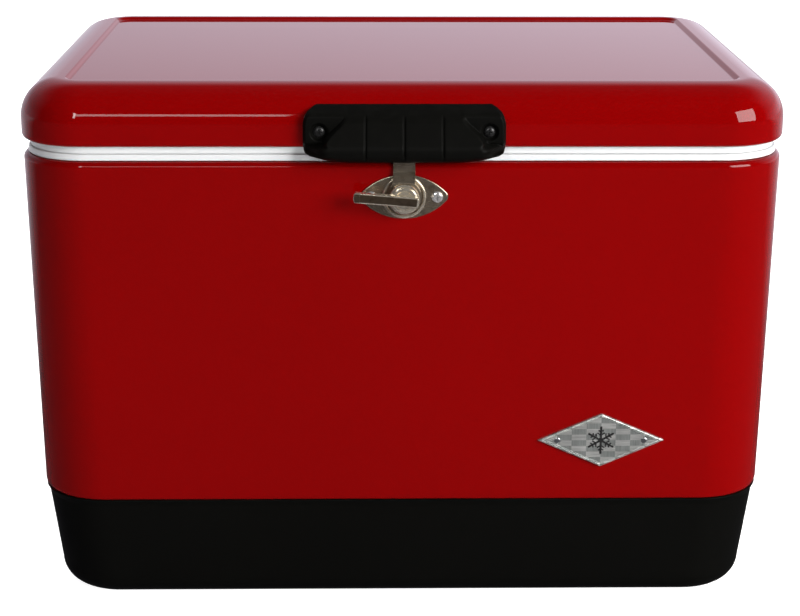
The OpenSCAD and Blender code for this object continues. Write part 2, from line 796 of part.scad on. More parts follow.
// A bent steel rod: two pivot ends, two arms and the bar that carries the grip.
module bail() {
  bar_z = bail_pivot_z - bail_drop;
  color([0.75, 0.76, 0.77]) translate([bail_x, 0, 0]) {
    translate([0, 0, bar_z]) rod_y(-bail_arm_y + bail_bend_r, bail_arm_y - bail_bend_r, bail_r);
    for (side = [-1, 1]) {
      translate([0, side * bail_arm_y, bar_z + bail_bend_r]) cylinder(h = bail_drop - bail_bend_r, r = bail_r, $fn = round_fn);
      translate([0, side * bail_arm_y, bail_pivot_z]) sphere(r = bail_r, $fn = round_fn);
      translate([0, 0, bail_pivot_z])
        rod_y(min(side * bail_arm_y, side * bail_end_y), max(side * bail_arm_y, side * bail_end_y), bail_r);
      translate([0, side * (bail_arm_y - bail_bend_r), bar_z + bail_bend_r]) rotate([0, 90, 0])
        rotate([0, 0, side > 0 ? 0 : -90])
          rotate_extrude(angle = 90, $fn = 96) translate([bail_bend_r, 0]) circle(r = bail_r, $fn = round_fn);
    }
  }
}

module bail_right() {
  bail();
}

module bail_left() {
  mirror([1, 0, 0]) bail();
}

module grip() {
  half_len = 42;
  color([0.05, 0.05, 0.05]) translate([bail_x, 0, bail_pivot_z - bail_drop]) difference() {
    rod_y(-half_len, half_len, grip_r);
    rod_y(-half_len - 1, half_len + 1, bail_r + 0.05);
    for (i = [-7 : 7]) translate([0, 5 * i, 0]) rotate([90, 0, 0])
      rotate_extrude($fn = 64) translate([grip_r + 0.4, 0]) circle(r = 1.3, $fn = 16);
  }
}

module grip_right() {
  grip();
}

module grip_left() {
  mirror([1, 0, 0]) grip();
}

module drain_spout() {
  color([0.9, 0.9, 0.9]) translate([0, drain_y, drain_z]) difference() {
    union() {
      rod_x(256.4, drain_end_x, drain_out_r);
      rod_x(255, 257.2, drain_flange_r);
    }
    rod_x(250, 330, drain_r);
  }
}

module drain_gasket() {
  color([0.06, 0.06, 0.06]) translate([0, drain_y, drain_z]) difference() {
    rod_x(drain_seat_x + 0.1, drain_seat_x + 1.9, drain_flange_r);
    rod_x(295, 310, drain_out_r + 0.1);
  }
}

module drain_nut() {
  color([0.9, 0.9, 0.9]) translate([0, drain_y, drain_z]) difference() {
    translate([drain_seat_x + 2, 0, 0]) rotate([0, 90, 0]) cylinder(h = 4.5, r = 15, $fn = 6);
    rod_x(295, 315, drain_out_r + 0.05);
  }
}

module drain_cap() {
  color([0.08, 0.08, 0.08]) translate([0, drain_y, drain_z]) difference() {
    rod_x(drain_seat_x + 7, drain_end_x + 4.8, 13.4);
    rod_x(drain_seat_x + 6, drain_end_x + 2.4, drain_out_r + 0.35);
    for (i = [0 : 15]) rotate([22.5 * i, 0, 0]) translate([0, 14.2, 0]) rod_x(300, 330, 1.3);
  }
}

module drain_seal() {
  color([0.12, 0.12, 0.12]) translate([0, drain_y, drain_z])
    rod_x(drain_end_x + 0.1, drain_end_x + 2.2, drain_out_r);
}

outer_belt();
base_pan();
liner_tub();
foam_walls();
foam_floor();
badge_plate();
badge_rivets();
lid_shell();
lid_liner();
lid_foam();
lid_handle();
lid_handle_screws();
lid_handle_backing_strip();
latch_plate();
latch_screws();
latch_backing_plate();
latch_lever();
latch_cam();
latch_washer();
latch_clip();
latch_tongue();
latch_keeper();
tongue_rivets();
hinge_body_leaf_left();
hinge_body_leaf_right();
hinge_lid_leaf_left();
hinge_lid_leaf_right();
hinge_pin_left();
hinge_pin_right();
hinge_body_screws();
hinge_lid_screws();
hinge_body_backing_plates();
hinge_lid_backing_plates();
handle_bracket_left_front();
handle_bracket_left_rear();
handle_bracket_right_front();
handle_bracket_right_rear();
handle_bracket_screws();
handle_backing_plates();
bail_left();
bail_right();
grip_left();
grip_right();
drain_spout();
drain_gasket();
drain_nut();
drain_cap();
drain_seal();
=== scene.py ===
"""Vintage steel-wrapped cooler chest: enamelled belt and lid, black pan, turn latch, end bails and drain."""

import logging
import math
from dataclasses import dataclass
from enum import Enum
from functools import lru_cache
from typing import Callable, Iterable, Optional, Sequence

import bmesh
import bpy
from mathutils import Matrix, Vector


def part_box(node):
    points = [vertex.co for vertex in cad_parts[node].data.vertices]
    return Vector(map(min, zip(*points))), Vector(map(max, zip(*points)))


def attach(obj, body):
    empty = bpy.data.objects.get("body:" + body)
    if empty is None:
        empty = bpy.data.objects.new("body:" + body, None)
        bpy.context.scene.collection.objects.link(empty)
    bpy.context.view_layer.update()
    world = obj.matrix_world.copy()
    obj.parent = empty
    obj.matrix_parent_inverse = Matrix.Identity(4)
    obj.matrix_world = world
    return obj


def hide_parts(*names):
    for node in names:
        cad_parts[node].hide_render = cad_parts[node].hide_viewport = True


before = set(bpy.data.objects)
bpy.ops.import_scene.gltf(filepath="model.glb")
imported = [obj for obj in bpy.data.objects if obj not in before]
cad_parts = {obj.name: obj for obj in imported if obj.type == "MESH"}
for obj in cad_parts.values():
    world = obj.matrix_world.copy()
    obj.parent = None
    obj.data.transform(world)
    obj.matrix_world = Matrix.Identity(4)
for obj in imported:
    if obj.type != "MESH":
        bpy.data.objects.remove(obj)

logging.basicConfig(level=logging.INFO, format="%(name)s: %(message)s")
LOG = logging.getLogger("cooler")

MM = 0.001
BMesh = bmesh.types.BMesh
Socket = bpy.types.NodeSocket
Point2 = tuple[float, float]
Colour = tuple[float, float, float]


class Body(str, Enum):
    """The moving bodies that pieces ride on."""

    CHEST = "chest"
    LID = "lid"
    LATCH = "latch_turn"
    BAIL_LEFT = "bail_left"
    BAIL_RIGHT = "bail_right"
    DRAIN_TRAVEL = "drain_travel"
    DRAIN_CAP = "drain_cap"


class Slot(str, Enum):
    """The record's material slots."""

    ENAMEL = "red_enamel"
    BLACK = "black_plastic"
    WHITE = "white_plastic"
    FOAM = "insulation_foam"
    BADGE = "badge_metal"
    PLATED = "plated_steel"
    ZINC = "zinc_steel"
    RUBBER = "black_rubber"


class Facing(Enum):
    """The way a turned piece's own +Z is laid."""

    FRONT = ("X", 90.0)
    REAR = ("X", -90.0)
    RIGHT = ("Y", 90.0)
    UP = ("X", 0.0)

    def matrix(self) -> Matrix:
        """Returns the rotation that lays +Z this way."""
        return Matrix.Rotation(math.radians(self.value[1]), 4, self.value[0])


@lru_cache(maxsize=None)
def span(node: str) -> tuple[Vector, Vector]:
    """Gives a CAD node's box in millimetres.

    Args:
        node: the node's name.

    Returns:
        Its lowest and highest corners.
    """
    low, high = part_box(node)
    return low / MM, high / MM


def smooth(low: float, high: float, value: float) -> float:
    """Gives a smooth step from 0 at low to 1 at high.

    Args:
        low: the value where the step starts.
        high: the value where it ends.
        value: the value to place.

    Returns:
        A number from 0 to 1.
    """
    t = min(max((value - low) / (high - low), 0.0), 1.0)
    return t * t * (3.0 - 2.0 * t)


def quarter(steps: int) -> list[float]:
    """Returns the angles of a quarter turn in equal steps, in radians."""
    return [math.radians(90.0 * step / steps) for step in range(steps + 1)]


def only(parts: Iterable, kind: type) -> list:
    """Returns the parts of one kind: vertices, edges or faces."""
    return [part for part in parts if isinstance(part, kind)]


def axis_of(node: str) -> Point2:
    """Returns the Y and Z of the axis that a turned node has along X."""
    low, high = span(node)
    return (low.y + high.y) / 2, (low.z + high.z) / 2


# ---------------------------------------------------------------- mesh making


@dataclass(frozen=True)
class Ring:
    """One rounded-rectangle outline round the Z axis, in millimetres."""

    z: float
    half_x: float
    half_y: float
    radius: float

    def placed(self, before: "Ring", point: Vector) -> Vector:
        """Moves a point of another ring to the same place on this one.

        Args:
            before: the ring that the point lies on.
            point: the point.

        Returns:
            The matching point of this ring.
        """
        moved = []
        for half, old_half, value in (
            (self.half_x, before.half_x, point.x),
            (self.half_y, before.half_y, point.y),
        ):
            core, old_core = half - self.radius, old_half - before.radius
            reach = abs(value)
            if reach <= old_core:
                new = reach / old_core * core
            else:
                new = core + (reach - old_core) / before.radius * self.radius
            moved.append(math.copysign(new, value))
        return Vector((moved[0], moved[1], self.z))


class Shape:
    """Bmesh recipes that every piece is made with. All lengths are millimetres."""

    @staticmethod
    def lofted(rings: Sequence[Ring], closed: bool = False, corner: int = 24, cuts: int = 5) -> BMesh:
        """Draws a skin through a stack of rings.

        Args:
            rings: the rings in order.
            closed: True joins the last ring to the first, False caps both ends.
            corner: segments in each round corner.
            cuts: cuts along each straight side.

        Returns:
            The closed mesh.
        """
        mesh = bmesh.new()
        first = rings[0]
        signs = ((1, 1), (-1, 1), (-1, -1), (1, -1))
        verts = [mesh.verts.new((x * first.half_x, y * first.half_y, first.z)) for x, y in signs]
        mesh.faces.new(verts)
        bmesh.ops.bevel(
            mesh, geom=verts, offset=first.radius, offset_type="OFFSET", segments=corner, profile=0.5,
            affect="VERTICES", material=-1,
        )
        arc = first.radius * math.pi / 2 / corner
        straight = [edge for edge in mesh.edges if edge.calc_length() > arc * 1.5]
        bmesh.ops.subdivide_edges(mesh, edges=straight, cuts=cuts)
        cap, edges = list(mesh.faces), list(mesh.edges)
        order = list(zip(rings, rings[1:])) + ([(rings[-1], rings[0])] if closed else [])
        for before, after in order:
            grown = bmesh.ops.extrude_edge_only(mesh, edges=edges)["geom"]
            edges = only(grown, bmesh.types.BMEdge)
            for vert in only(grown, bmesh.types.BMVert):
                vert.co = after.placed(before, vert.co)
        if closed:
            bmesh.ops.delete(mesh, geom=cap, context="FACES_ONLY")
            bmesh.ops.remove_doubles(mesh, verts=mesh.verts, dist=0.01)
        else:
            bmesh.ops.contextual_create(mesh, geom=edges)
        bmesh.ops.recalc_face_normals(mesh, faces=mesh.faces)
        return mesh

    @staticmethod
    def turned(profile: Sequence[Point2], steps: int = 48, closed: bool = False) -> BMesh:
        """Turns a profile round Z.

        Args:
            profile: (radius, height) points.
            steps: steps in the full turn.
            closed: True joins the profile's last point to its first, for a piece with a bore.

        Returns:
            The turned mesh.
        """
        mesh = bmesh.new()
        points = [mesh.verts.new((radius, 0.0, height)) for radius, height in profile]
        edges = [mesh.edges.new(pair) for pair in zip(points, points[1:])]
        if closed:
            edges.append(mesh.edges.new((points[-1], points[0])))
        bmesh.ops.spin(
            mesh, geom=points + edges, cent=(0, 0, 0), axis=(0, 0, 1), angle=math.tau, steps=steps,
            use_merge=True, use_duplicate=False,
        )
        bmesh.ops.remove_doubles(mesh, verts=mesh.verts, dist=1e-4)
        bmesh.ops.recalc_face_normals(mesh, faces=mesh.faces)
        return mesh

    @staticmethod
    def block(low: Sequence[float], high: Sequence[float], soft: float = 0.0, steps: int = 2) -> BMesh:
        """Makes a box with softened edges.

        Args:
            low: its lowest corner.
            high: its highest corner.
            soft: the radius of its edges, 0 for none.
            steps: segments in each edge's rounding.

        Returns:
            The mesh.
        """
        mesh = bmesh.new()
        low, high = Vector(low), Vector(high)
        size = high - low
        bmesh.ops.create_cube(mesh, size=1.0)
        bmesh.ops.scale(mesh, vec=size, verts=mesh.verts)
        bmesh.ops.translate(mesh, vec=(low + high) / 2, verts=mesh.verts)
        if soft > 0:
            Shape.soften(mesh, soft, steps)
        return mesh

    @staticmethod
    def soften(mesh: BMesh, width: float, steps: int = 2, angle: float = 35.0) -> None:
        """Rounds every edge sharper than an angle.

        Args:
            mesh: the mesh to change.
            width: the width of the rounding.
            steps: its segments.
            angle: the smallest angle that counts as an edge, in degrees.
        """
        sharp = [
            edge for edge in mesh.edges
            if len(edge.link_faces) == 2 and edge.calc_face_angle(0.0) > math.radians(angle)
        ]
        bmesh.ops.bevel(
            mesh, geom=sharp, offset=width, offset_type="OFFSET", segments=steps, profile=0.5,
            affect="EDGES", material=-1, clamp_overlap=True,
        )

    @staticmethod
    def extruded(outline: Sequence[Point2], depth: float) -> BMesh:
        """Raises a flat outline along Z.

        Args:
            outline: its corners in order.
            depth: how far it is raised.

        Returns:
            The mesh.
        """
        mesh = bmesh.new()
        face = mesh.faces.new([mesh.verts.new((x, y, 0.0)) for x, y in outline])
        raised = bmesh.ops.extrude_face_region(mesh, geom=[face])["geom"]
        moved = only(raised, bmesh.types.BMVert)
        bmesh.ops.translate(mesh, vec=(0, 0, depth), verts=moved)
        bmesh.ops.recalc_face_normals(mesh, faces=mesh.faces)
        return mesh

    @staticmethod
    def moved(mesh: BMesh, facing: Facing = Facing.UP, place: Sequence[float] = (0, 0, 0)) -> BMesh:
        """Lays a mesh's +Z one way and moves it.

        Args:
            mesh: the mesh to change.
            facing: where its +Z goes.
            place: where its origin goes.

        Returns:
            The same mesh.
        """
        matrix = Matrix.Translation(Vector(place)) @ facing.matrix()
        bmesh.ops.transform(mesh, matrix=matrix, verts=mesh.verts)
        return mesh

    @staticmethod
    def joined(parts: Iterable[BMesh]) -> BMesh:
        """Puts several meshes in one, and frees them.

        Args:
            parts: the meshes.

        Returns:
            The one mesh.
        """
        whole = bmesh.new()
        for part in parts:
            scratch = bpy.data.meshes.new("part")
            part.to_mesh(scratch)
            part.free()
            whole.from_mesh(scratch)
            bpy.data.meshes.remove(scratch)
        return whole

    @staticmethod
    def copied(mesh: BMesh, places: Iterable[Sequence[float]]) -> BMesh:
        """Repeats a mesh at several places, and frees it.

        Args:
            mesh: the mesh.
            places: the offset of each copy.

        Returns:
            One mesh with all the copies.
        """
        copies = []
        for place in places:
            copy = mesh.copy()
            bmesh.ops.translate(copy, vec=Vector(place), verts=copy.verts)
            copies.append(copy)
        mesh.free()
        return Shape.joined(copies)

    @staticmethod
    def flipped(mesh: BMesh, axis: int) -> BMesh:
        """Mirrors a mesh across the plane through the origin.

        Args:
            mesh: the mesh to change.
            axis: 0 for X, 1 for Y, 2 for Z.

        Returns:
            The same mesh.
        """
        scale = [1.0, 1.0, 1.0]
        scale[axis] = -1.0
        bmesh.ops.scale(mesh, vec=scale, verts=mesh.verts)
        bmesh.ops.reverse_faces(mesh, faces=mesh.faces)
        return mesh

    @staticmethod
    def carved(body: BMesh, tool: BMesh, operation: str = "DIFFERENCE") -> BMesh:
        """Cuts one mesh with another, or joins them, and frees both.

        Args:
            body: the mesh to work on.
            tool: the mesh that cuts it.
            operation: DIFFERENCE, UNION or INTERSECT.

        Returns:
            The result.
        """
        objects = []
        for name, mesh in (("body", body), ("tool", tool)):
            data = bpy.data.meshes.new(name)
            mesh.to_mesh(data)
            mesh.free()
            thing = bpy.data.objects.new(name, data)
            bpy.context.scene.collection.objects.link(thing)
            objects.append(thing)
        cut = objects[0].modifiers.new("cut", "BOOLEAN")
        cut.object, cut.operation, cut.solver = objects[1], operation, "EXACT"
        bpy.context.view_layer.update()
        result = bmesh.new()
        result.from_object(objects[0], bpy.context.evaluated_depsgraph_get())
        for thing in objects:
            data = thing.data
            bpy.data.objects.remove(thing)
            bpy.data.meshes.remove(data)
        return result

    @staticmethod
    def from_node(node: str, width: float, steps: int = 2) -> BMesh:
        """Takes a CAD node's shape and softens its edges.

        Args:
            node: the node's name.
            width: the width of the rounding in millimetres.
            steps: its segments.

        Returns:
            The mesh, in millimetres.
        """
        mesh = bmesh.new()
        mesh.from_mesh(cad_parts[node].data)
        bmesh.ops.scale(mesh, vec=(1 / MM,) * 3, verts=mesh.verts)
        bmesh.ops.remove_doubles(mesh, verts=mesh.verts, dist=0.004)
        bmesh.ops.dissolve_limit(
            mesh, angle_limit=math.radians(1.0), use_dissolve_boundaries=False,
            verts=mesh.verts, edges=mesh.edges,
        )
        Shape.soften(mesh, width, steps)
        return mesh


# ---------------------------------------------------------------- finishes


class NodeSheet:
    """Adds and links shader nodes in one tree."""

    def __init__(self, tree: bpy.types.NodeTree) -> None:
        """Keeps the tree that nodes are added to."""
        self.tree = tree

    def add(self, kind: str, inputs: Optional[dict] = None, **settings: object) -> bpy.types.Node:
        """Adds a node.

        Args:
            kind: the node's type.
            inputs: socket name or number to a value, or to an output socket that feeds it.
            settings: the node's own settings.

        Returns:
            The node.
        """
        node = self.tree.nodes.new(kind)
        for key, value in settings.items():
            setattr(node, key, value)
        for key, value in (inputs or {}).items():
            if isinstance(value, Socket):
                self.tree.links.new(value, node.inputs[key])
            else:
                node.inputs[key].default_value = value
        return node

    def math(self, operation: str, first: object, second: object = 0.5, clamp: bool = False) -> Socket:
        """Adds a Math node.

        Args:
            operation: its operation.
            first: its first value or socket.
            second: its second value or socket.
            clamp: True keeps the result from 0 to 1.

        Returns:
            Its output.
        """
        node = self.add("ShaderNodeMath", {0: first, 1: second}, operation=operation, use_clamp=clamp)
        return node.outputs[0]

    def mapped(self, value: object, low: float, high: float, to_low: float, to_high: float) -> Socket:
        """Adds a clamped Map Range.

        Args:
            value: the value or socket to map.
            low: the value mapped to to_low.
            high: the value mapped to to_high.
            to_low: the lowest result.
            to_high: the highest result.

        Returns:
            Its output.
        """
        node = self.add(
            "ShaderNodeMapRange", {0: value, 1: low, 2: high, 3: to_low, 4: to_high}, clamp=True,
        )
        return node.outputs[0]

    def noise(self, vector: object, scale: object, detail: float) -> Socket:
        """Returns the value of a noise texture."""
        inputs = {"Vector": vector, "Scale": scale, "Detail": detail}
        return self.add("ShaderNodeTexNoise", inputs).outputs[0]

    def blended(self, factor: object, first: object, second: object, kind: str = "MIX") -> Socket:
        """Adds a colour mix.

        Args:
            factor: how much of the second colour.
            first: the first colour or socket.
            second: the second colour or socket.
            kind: the blend type.

        Returns:
            Its output.
        """
        node = self.add(
            "ShaderNodeMix", {0: factor, 6: first, 7: second}, data_type="RGBA", blend_type=kind,
        )
        return node.outputs[2]


class Effects:
    """Node groups that several finishes share, each built once."""

    def __init__(self) -> None:
        """Starts with no group built."""
        self._made: dict[str, bpy.types.NodeTree] = {}

    def _group(self, name: str, values: dict[str, float], output: str, draw: Callable) -> bpy.types.NodeTree:
        """Builds a group with a Vector input, float inputs and one float output.

        Args:
            name: the group's name.
            values: its float inputs and their starting values.
            output: its output's name.
            draw: takes the sheet and the group's inputs, and returns the output's socket.

        Returns:
            The group.
        """
        if name in self._made:
            return self._made[name]
        tree = bpy.data.node_groups.new(name, "ShaderNodeTree")
        tree.interface.new_socket("Vector", in_out="INPUT", socket_type="NodeSocketVector")
        for key, value in values.items():
            socket = tree.interface.new_socket(key, in_out="INPUT", socket_type="NodeSocketFloat")
            socket.default_value = value
        tree.interface.new_socket(output, in_out="OUTPUT", socket_type="NodeSocketFloat")
        sheet = NodeSheet(tree)
        start = sheet.add("NodeGroupInput")
        end = sheet.add("NodeGroupOutput")
        tree.links.new(draw(sheet, start.outputs), end.inputs[output])
        self._made[name] = tree
        return tree

    def edge_wear(self) -> bpy.types.NodeTree:
        """Returns the group that masks worn convex edges."""

        def draw(sheet: NodeSheet, given: object) -> Socket:
            """Draws the mask: convex edges broken up by noise."""
            pointed = sheet.add("ShaderNodeNewGeometry").outputs["Pointiness"]
            convex = sheet.mapped(pointed, 0.52, 0.6, 0.0, 1.0)
            patches = sheet.noise(given["Vector"], given["Scale"], 4.0)
            broken = sheet.mapped(patches, 0.42, 0.62, 0.0, 1.0)
            return sheet.math("MULTIPLY", sheet.math("MULTIPLY", convex, broken), given["Amount"], clamp=True)

        return self._group("edge wear", {"Scale": 60.0, "Amount": 0.5}, "Mask", draw)

    def grain(self) -> bpy.types.NodeTree:
        """Returns the group that gives a fine surface height."""

        def draw(sheet: NodeSheet, given: object) -> Socket:
            """Draws two sizes of noise added together."""
            coarse = sheet.noise(given["Vector"], given["Scale"], 2.0)
            fine = sheet.noise(given["Vector"], sheet.math("MULTIPLY", given["Scale"], 3.1), 1.0)
            return sheet.math("ADD", coarse, sheet.math("MULTIPLY", fine, given["Fineness"]))

        return self._group("grain", {"Scale": 800.0, "Fineness": 0.4}, "Height", draw)

    def scratches(self) -> bpy.types.NodeTree:
        """Returns the group that masks hairline scratches."""

        def draw(sheet: NodeSheet, given: object) -> Socket:
            """Draws thin ridges of stretched noise, in patches."""
            bent = sheet.add("ShaderNodeMapping", {"Vector": given["Vector"], "Rotation": (0.3, 0.5, 0.7)})
            long = sheet.add("ShaderNodeMapping", {"Vector": bent.outputs[0], "Scale": (1.0, 9.0, 14.0)})
            lines = sheet.noise(long.outputs[0], given["Scale"], 3.0)
            ridge = sheet.math("ABSOLUTE", sheet.math("SUBTRACT", lines, 0.5))
            thin = sheet.mapped(ridge, 0.0, 0.012, 1.0, 0.0)
            patchy = sheet.mapped(sheet.noise(given["Vector"], 7.0, 2.0), 0.5, 0.66, 0.0, 1.0)
            return sheet.math("MULTIPLY", sheet.math("MULTIPLY", thin, patchy), given["Amount"], clamp=True)

        return self._group("scratches", {"Scale": 24.0, "Amount": 0.5}, "Mask", draw)

    def mottle(self) -> bpy.types.NodeTree:
        """Returns the group that gives a slow change of tone around 1."""

        def draw(sheet: NodeSheet, given: object) -> Socket:
            """Draws soft noise, spread round 1."""
            soft = sheet.noise(given["Vector"], given["Scale"], 3.0)
            spread = sheet.math("MULTIPLY", sheet.math("SUBTRACT", soft, 0.5), given["Spread"])
            return sheet.math("ADD", spread, 1.0)

        return self._group("mottle", {"Scale": 5.0, "Spread": 0.2}, "Tone", draw)

    def dust(self) -> bpy.types.NodeTree:
        """Returns the group that masks dust lying on upward faces."""

        def draw(sheet: NodeSheet, given: object) -> Socket:
            """Draws specks and haze where the surface looks up."""
            up = sheet.add(
                "ShaderNodeSeparateXYZ", {0: sheet.add("ShaderNodeNewGeometry").outputs["Normal"]}
            ).outputs[2]
            facing = sheet.mapped(up, 0.2, 0.95, 0.12, 1.0)
            specks = sheet.noise(given["Vector"], given["Scale"], 6.0)
            haze = sheet.mapped(specks, 0.45, 0.8, 0.0, 1.0)
            return sheet.math("MULTIPLY", sheet.math("MULTIPLY", facing, haze), given["Amount"], clamp=True)

        return self._group("dust", {"Scale": 90.0, "Amount": 0.1}, "Mask", draw)


EFFECTS = Effects()


class Coat(NodeSheet):
    """A material being written: a Principled shader, Object coordinates and the shared effects."""

    def __init__(self, name: str, rough: float, metal: float = 0.0) -> None:
        """Starts a material.

        Args:
            name: its name.
            rough: its roughness where nothing feeds it.
            metal: its metallic value.
        """
        self.material = bpy.data.materials.new(name)
        self.material.use_nodes = True
        super().__init__(self.material.node_tree)
        self.shader = self.tree.nodes["Principled BSDF"]
        self.shader.inputs["Roughness"].default_value = rough
        self.shader.inputs["Metallic"].default_value = metal
        self.object_vector = self.add("ShaderNodeTexCoord").outputs["Object"]

    def effect(self, group: bpy.types.NodeTree, **values: float) -> Socket:
        """Places a shared effect.

        Args:
            group: the node group.
            values: its float inputs.

        Returns:
            Its output.
        """
        node = self.add("ShaderNodeGroup", node_tree=group)
        self.tree.links.new(self.object_vector, node.inputs["Vector"])
        for key, value in values.items():
            node.inputs[key].default_value = value
        return node.outputs[0]

    def feed(self, name: str, socket: Socket) -> None:
        """Feeds one of the shader's sockets."""
        self.tree.links.new(socket, self.shader.inputs[name])

    def fix(self, **values: object) -> None:
        """Sets plain values on the shader's sockets, with _ for a space in a name."""
        for key, value in values.items():
            self.shader.inputs[key.replace("_", " ")].default_value = value

    def bumped(self, height: Socket, strength: float, distance: float) -> None:
        """Feeds the shader's normal from a height.

        Args:
            height: the height's socket.
            strength: the bump's strength.
            distance: its depth in metres.
        """
        bump = self.add("ShaderNodeBump", {"Strength": strength, "Distance": distance, "Height": height})
        self.feed("Normal", bump.outputs[0])

    def toned(self, colour: Colour, scale: float, spread: float) -> Socket:
        """Gives a colour a slow change of tone.

        Args:
            colour: the colour.
            scale: the size of the change.
            spread: its strength.

        Returns:
            The toned colour.
        """
        tone = self.effect(EFFECTS.mottle(), Scale=scale, Spread=spread)
        scaled = self.add("ShaderNodeVectorMath", {0: colour, "Scale": tone}, operation="SCALE")
        return scaled.outputs[0]


@dataclass(frozen=True)
class Enamel:
    """Glossy baked enamel on sheet steel."""

    name: str = "red enamel"
    colour: Colour = (0.168, 0.0001, 0.0002)
    chip: tuple[float, float, float] = (0.1, 0.002, 0.003)
    dust: tuple[float, float, float] = (0.3, 0.16, 0.15)

    def material(self) -> bpy.types.Material:
        """Returns the enamel: toned colour, worn edges, dust, hairline scratches and orange peel."""
        coat = Coat(self.name, 0.34)
        colour = coat.toned(self.colour, 4.0, 0.16)
        worn = coat.effect(EFFECTS.edge_wear(), Scale=45.0, Amount=0.35)
        colour = coat.blended(worn, colour, (*self.chip, 1.0))
        dusty = coat.effect(EFFECTS.dust(), Scale=420.0, Amount=0.014)
        coat.feed("Base Color", coat.blended(dusty, colour, (*self.dust, 1.0)))
        scratched = coat.effect(EFFECTS.scratches(), Scale=16.0, Amount=0.5)
        coat.feed("Roughness", coat.mapped(scratched, 0.0, 1.0, 0.34, 0.55))
        coat.bumped(coat.effect(EFFECTS.grain(), Scale=260.0, Fineness=0.2), 0.02, 0.0004)
        coat.fix(Coat_Weight=1.0, Coat_Roughness=0.035, Coat_IOR=1.38, Specular_IOR_Level=0.0)
        return coat.material


@dataclass(frozen=True)
class MouldedPlastic:
    """Moulded plastic with a fine tooled texture."""

    name: str
    colour: Colour
    rub: tuple[float, float, float]
    rough: float
    grain_scale: float = 1500.0
    grain_depth: float = 0.00012
    specular: float = 0.4
    dust_amount: float = 0.04
    dust: tuple[float, float, float] = (0.3, 0.28, 0.25)

    def material(self) -> bpy.types.Material:
        """Returns the plastic: toned colour, rubbed edges, dust, scuffs and a fine grain."""
        coat = Coat(self.name, self.rough)
        colour = coat.toned(self.colour, 9.0, 0.22)
        worn = coat.effect(EFFECTS.edge_wear(), Scale=80.0, Amount=0.5)
        colour = coat.blended(worn, colour, (*self.rub, 1.0))
        dusty = coat.effect(EFFECTS.dust(), Scale=160.0, Amount=self.dust_amount)
        coat.feed("Base Color", coat.blended(dusty, colour, (*self.dust, 1.0)))
        scuffed = coat.effect(EFFECTS.scratches(), Scale=22.0, Amount=0.6)
        coat.feed("Roughness", coat.mapped(scuffed, 0.0, 1.0, self.rough, min(self.rough + 0.2, 0.9)))
        grain = coat.effect(EFFECTS.grain(), Scale=self.grain_scale, Fineness=0.5)
        coat.bumped(grain, 0.25, self.grain_depth)
        coat.fix(Specular_IOR_Level=self.specular)
        return coat.material


@dataclass(frozen=True)
class PlatedMetal:
    """Plated steel with drawn lines, tarnish and bright worn edges."""

    name: str
    colour: Colour
    tarnish: tuple[float, float, float]
    rough: float
    line_scale: tuple[float, float, float] = (30.0, 30.0, 900.0)
    line_depth: float = 0.00006
    metal: float = 1.0

    def material(self) -> bpy.types.Material:
        """Returns the metal."""
        coat = Coat(self.name, self.rough, self.metal)
        colour = coat.toned(self.colour, 40.0, 0.3)
        stained = coat.mapped(coat.effect(EFFECTS.mottle(), Scale=160.0, Spread=1.0), 1.0, 1.2, 0.0, 0.6)
        colour = coat.blended(stained, colour, (*self.tarnish, 1.0))
        bright = coat.effect(EFFECTS.edge_wear(), Scale=200.0, Amount=0.7)
        bare = tuple(min(part * 1.25, 1.0) for part in self.colour)
        coat.feed("Base Color", coat.blended(bright, colour, (*bare, 1.0)))
        drawn = coat.add("ShaderNodeMapping", {"Vector": coat.object_vector, "Scale": self.line_scale})
        lines = coat.noise(drawn.outputs[0], 1.0, 3.0)
        scratched = coat.effect(EFFECTS.scratches(), Scale=60.0, Amount=0.6)
        drawn_rough = coat.mapped(lines, 0.3, 0.7, self.rough * 0.9, self.rough * 1.15)
        coat.feed("Roughness", coat.math("ADD", drawn_rough, coat.math("MULTIPLY", scratched, 0.15)))
        coat.bumped(lines, 0.3, self.line_depth)
        return coat.material


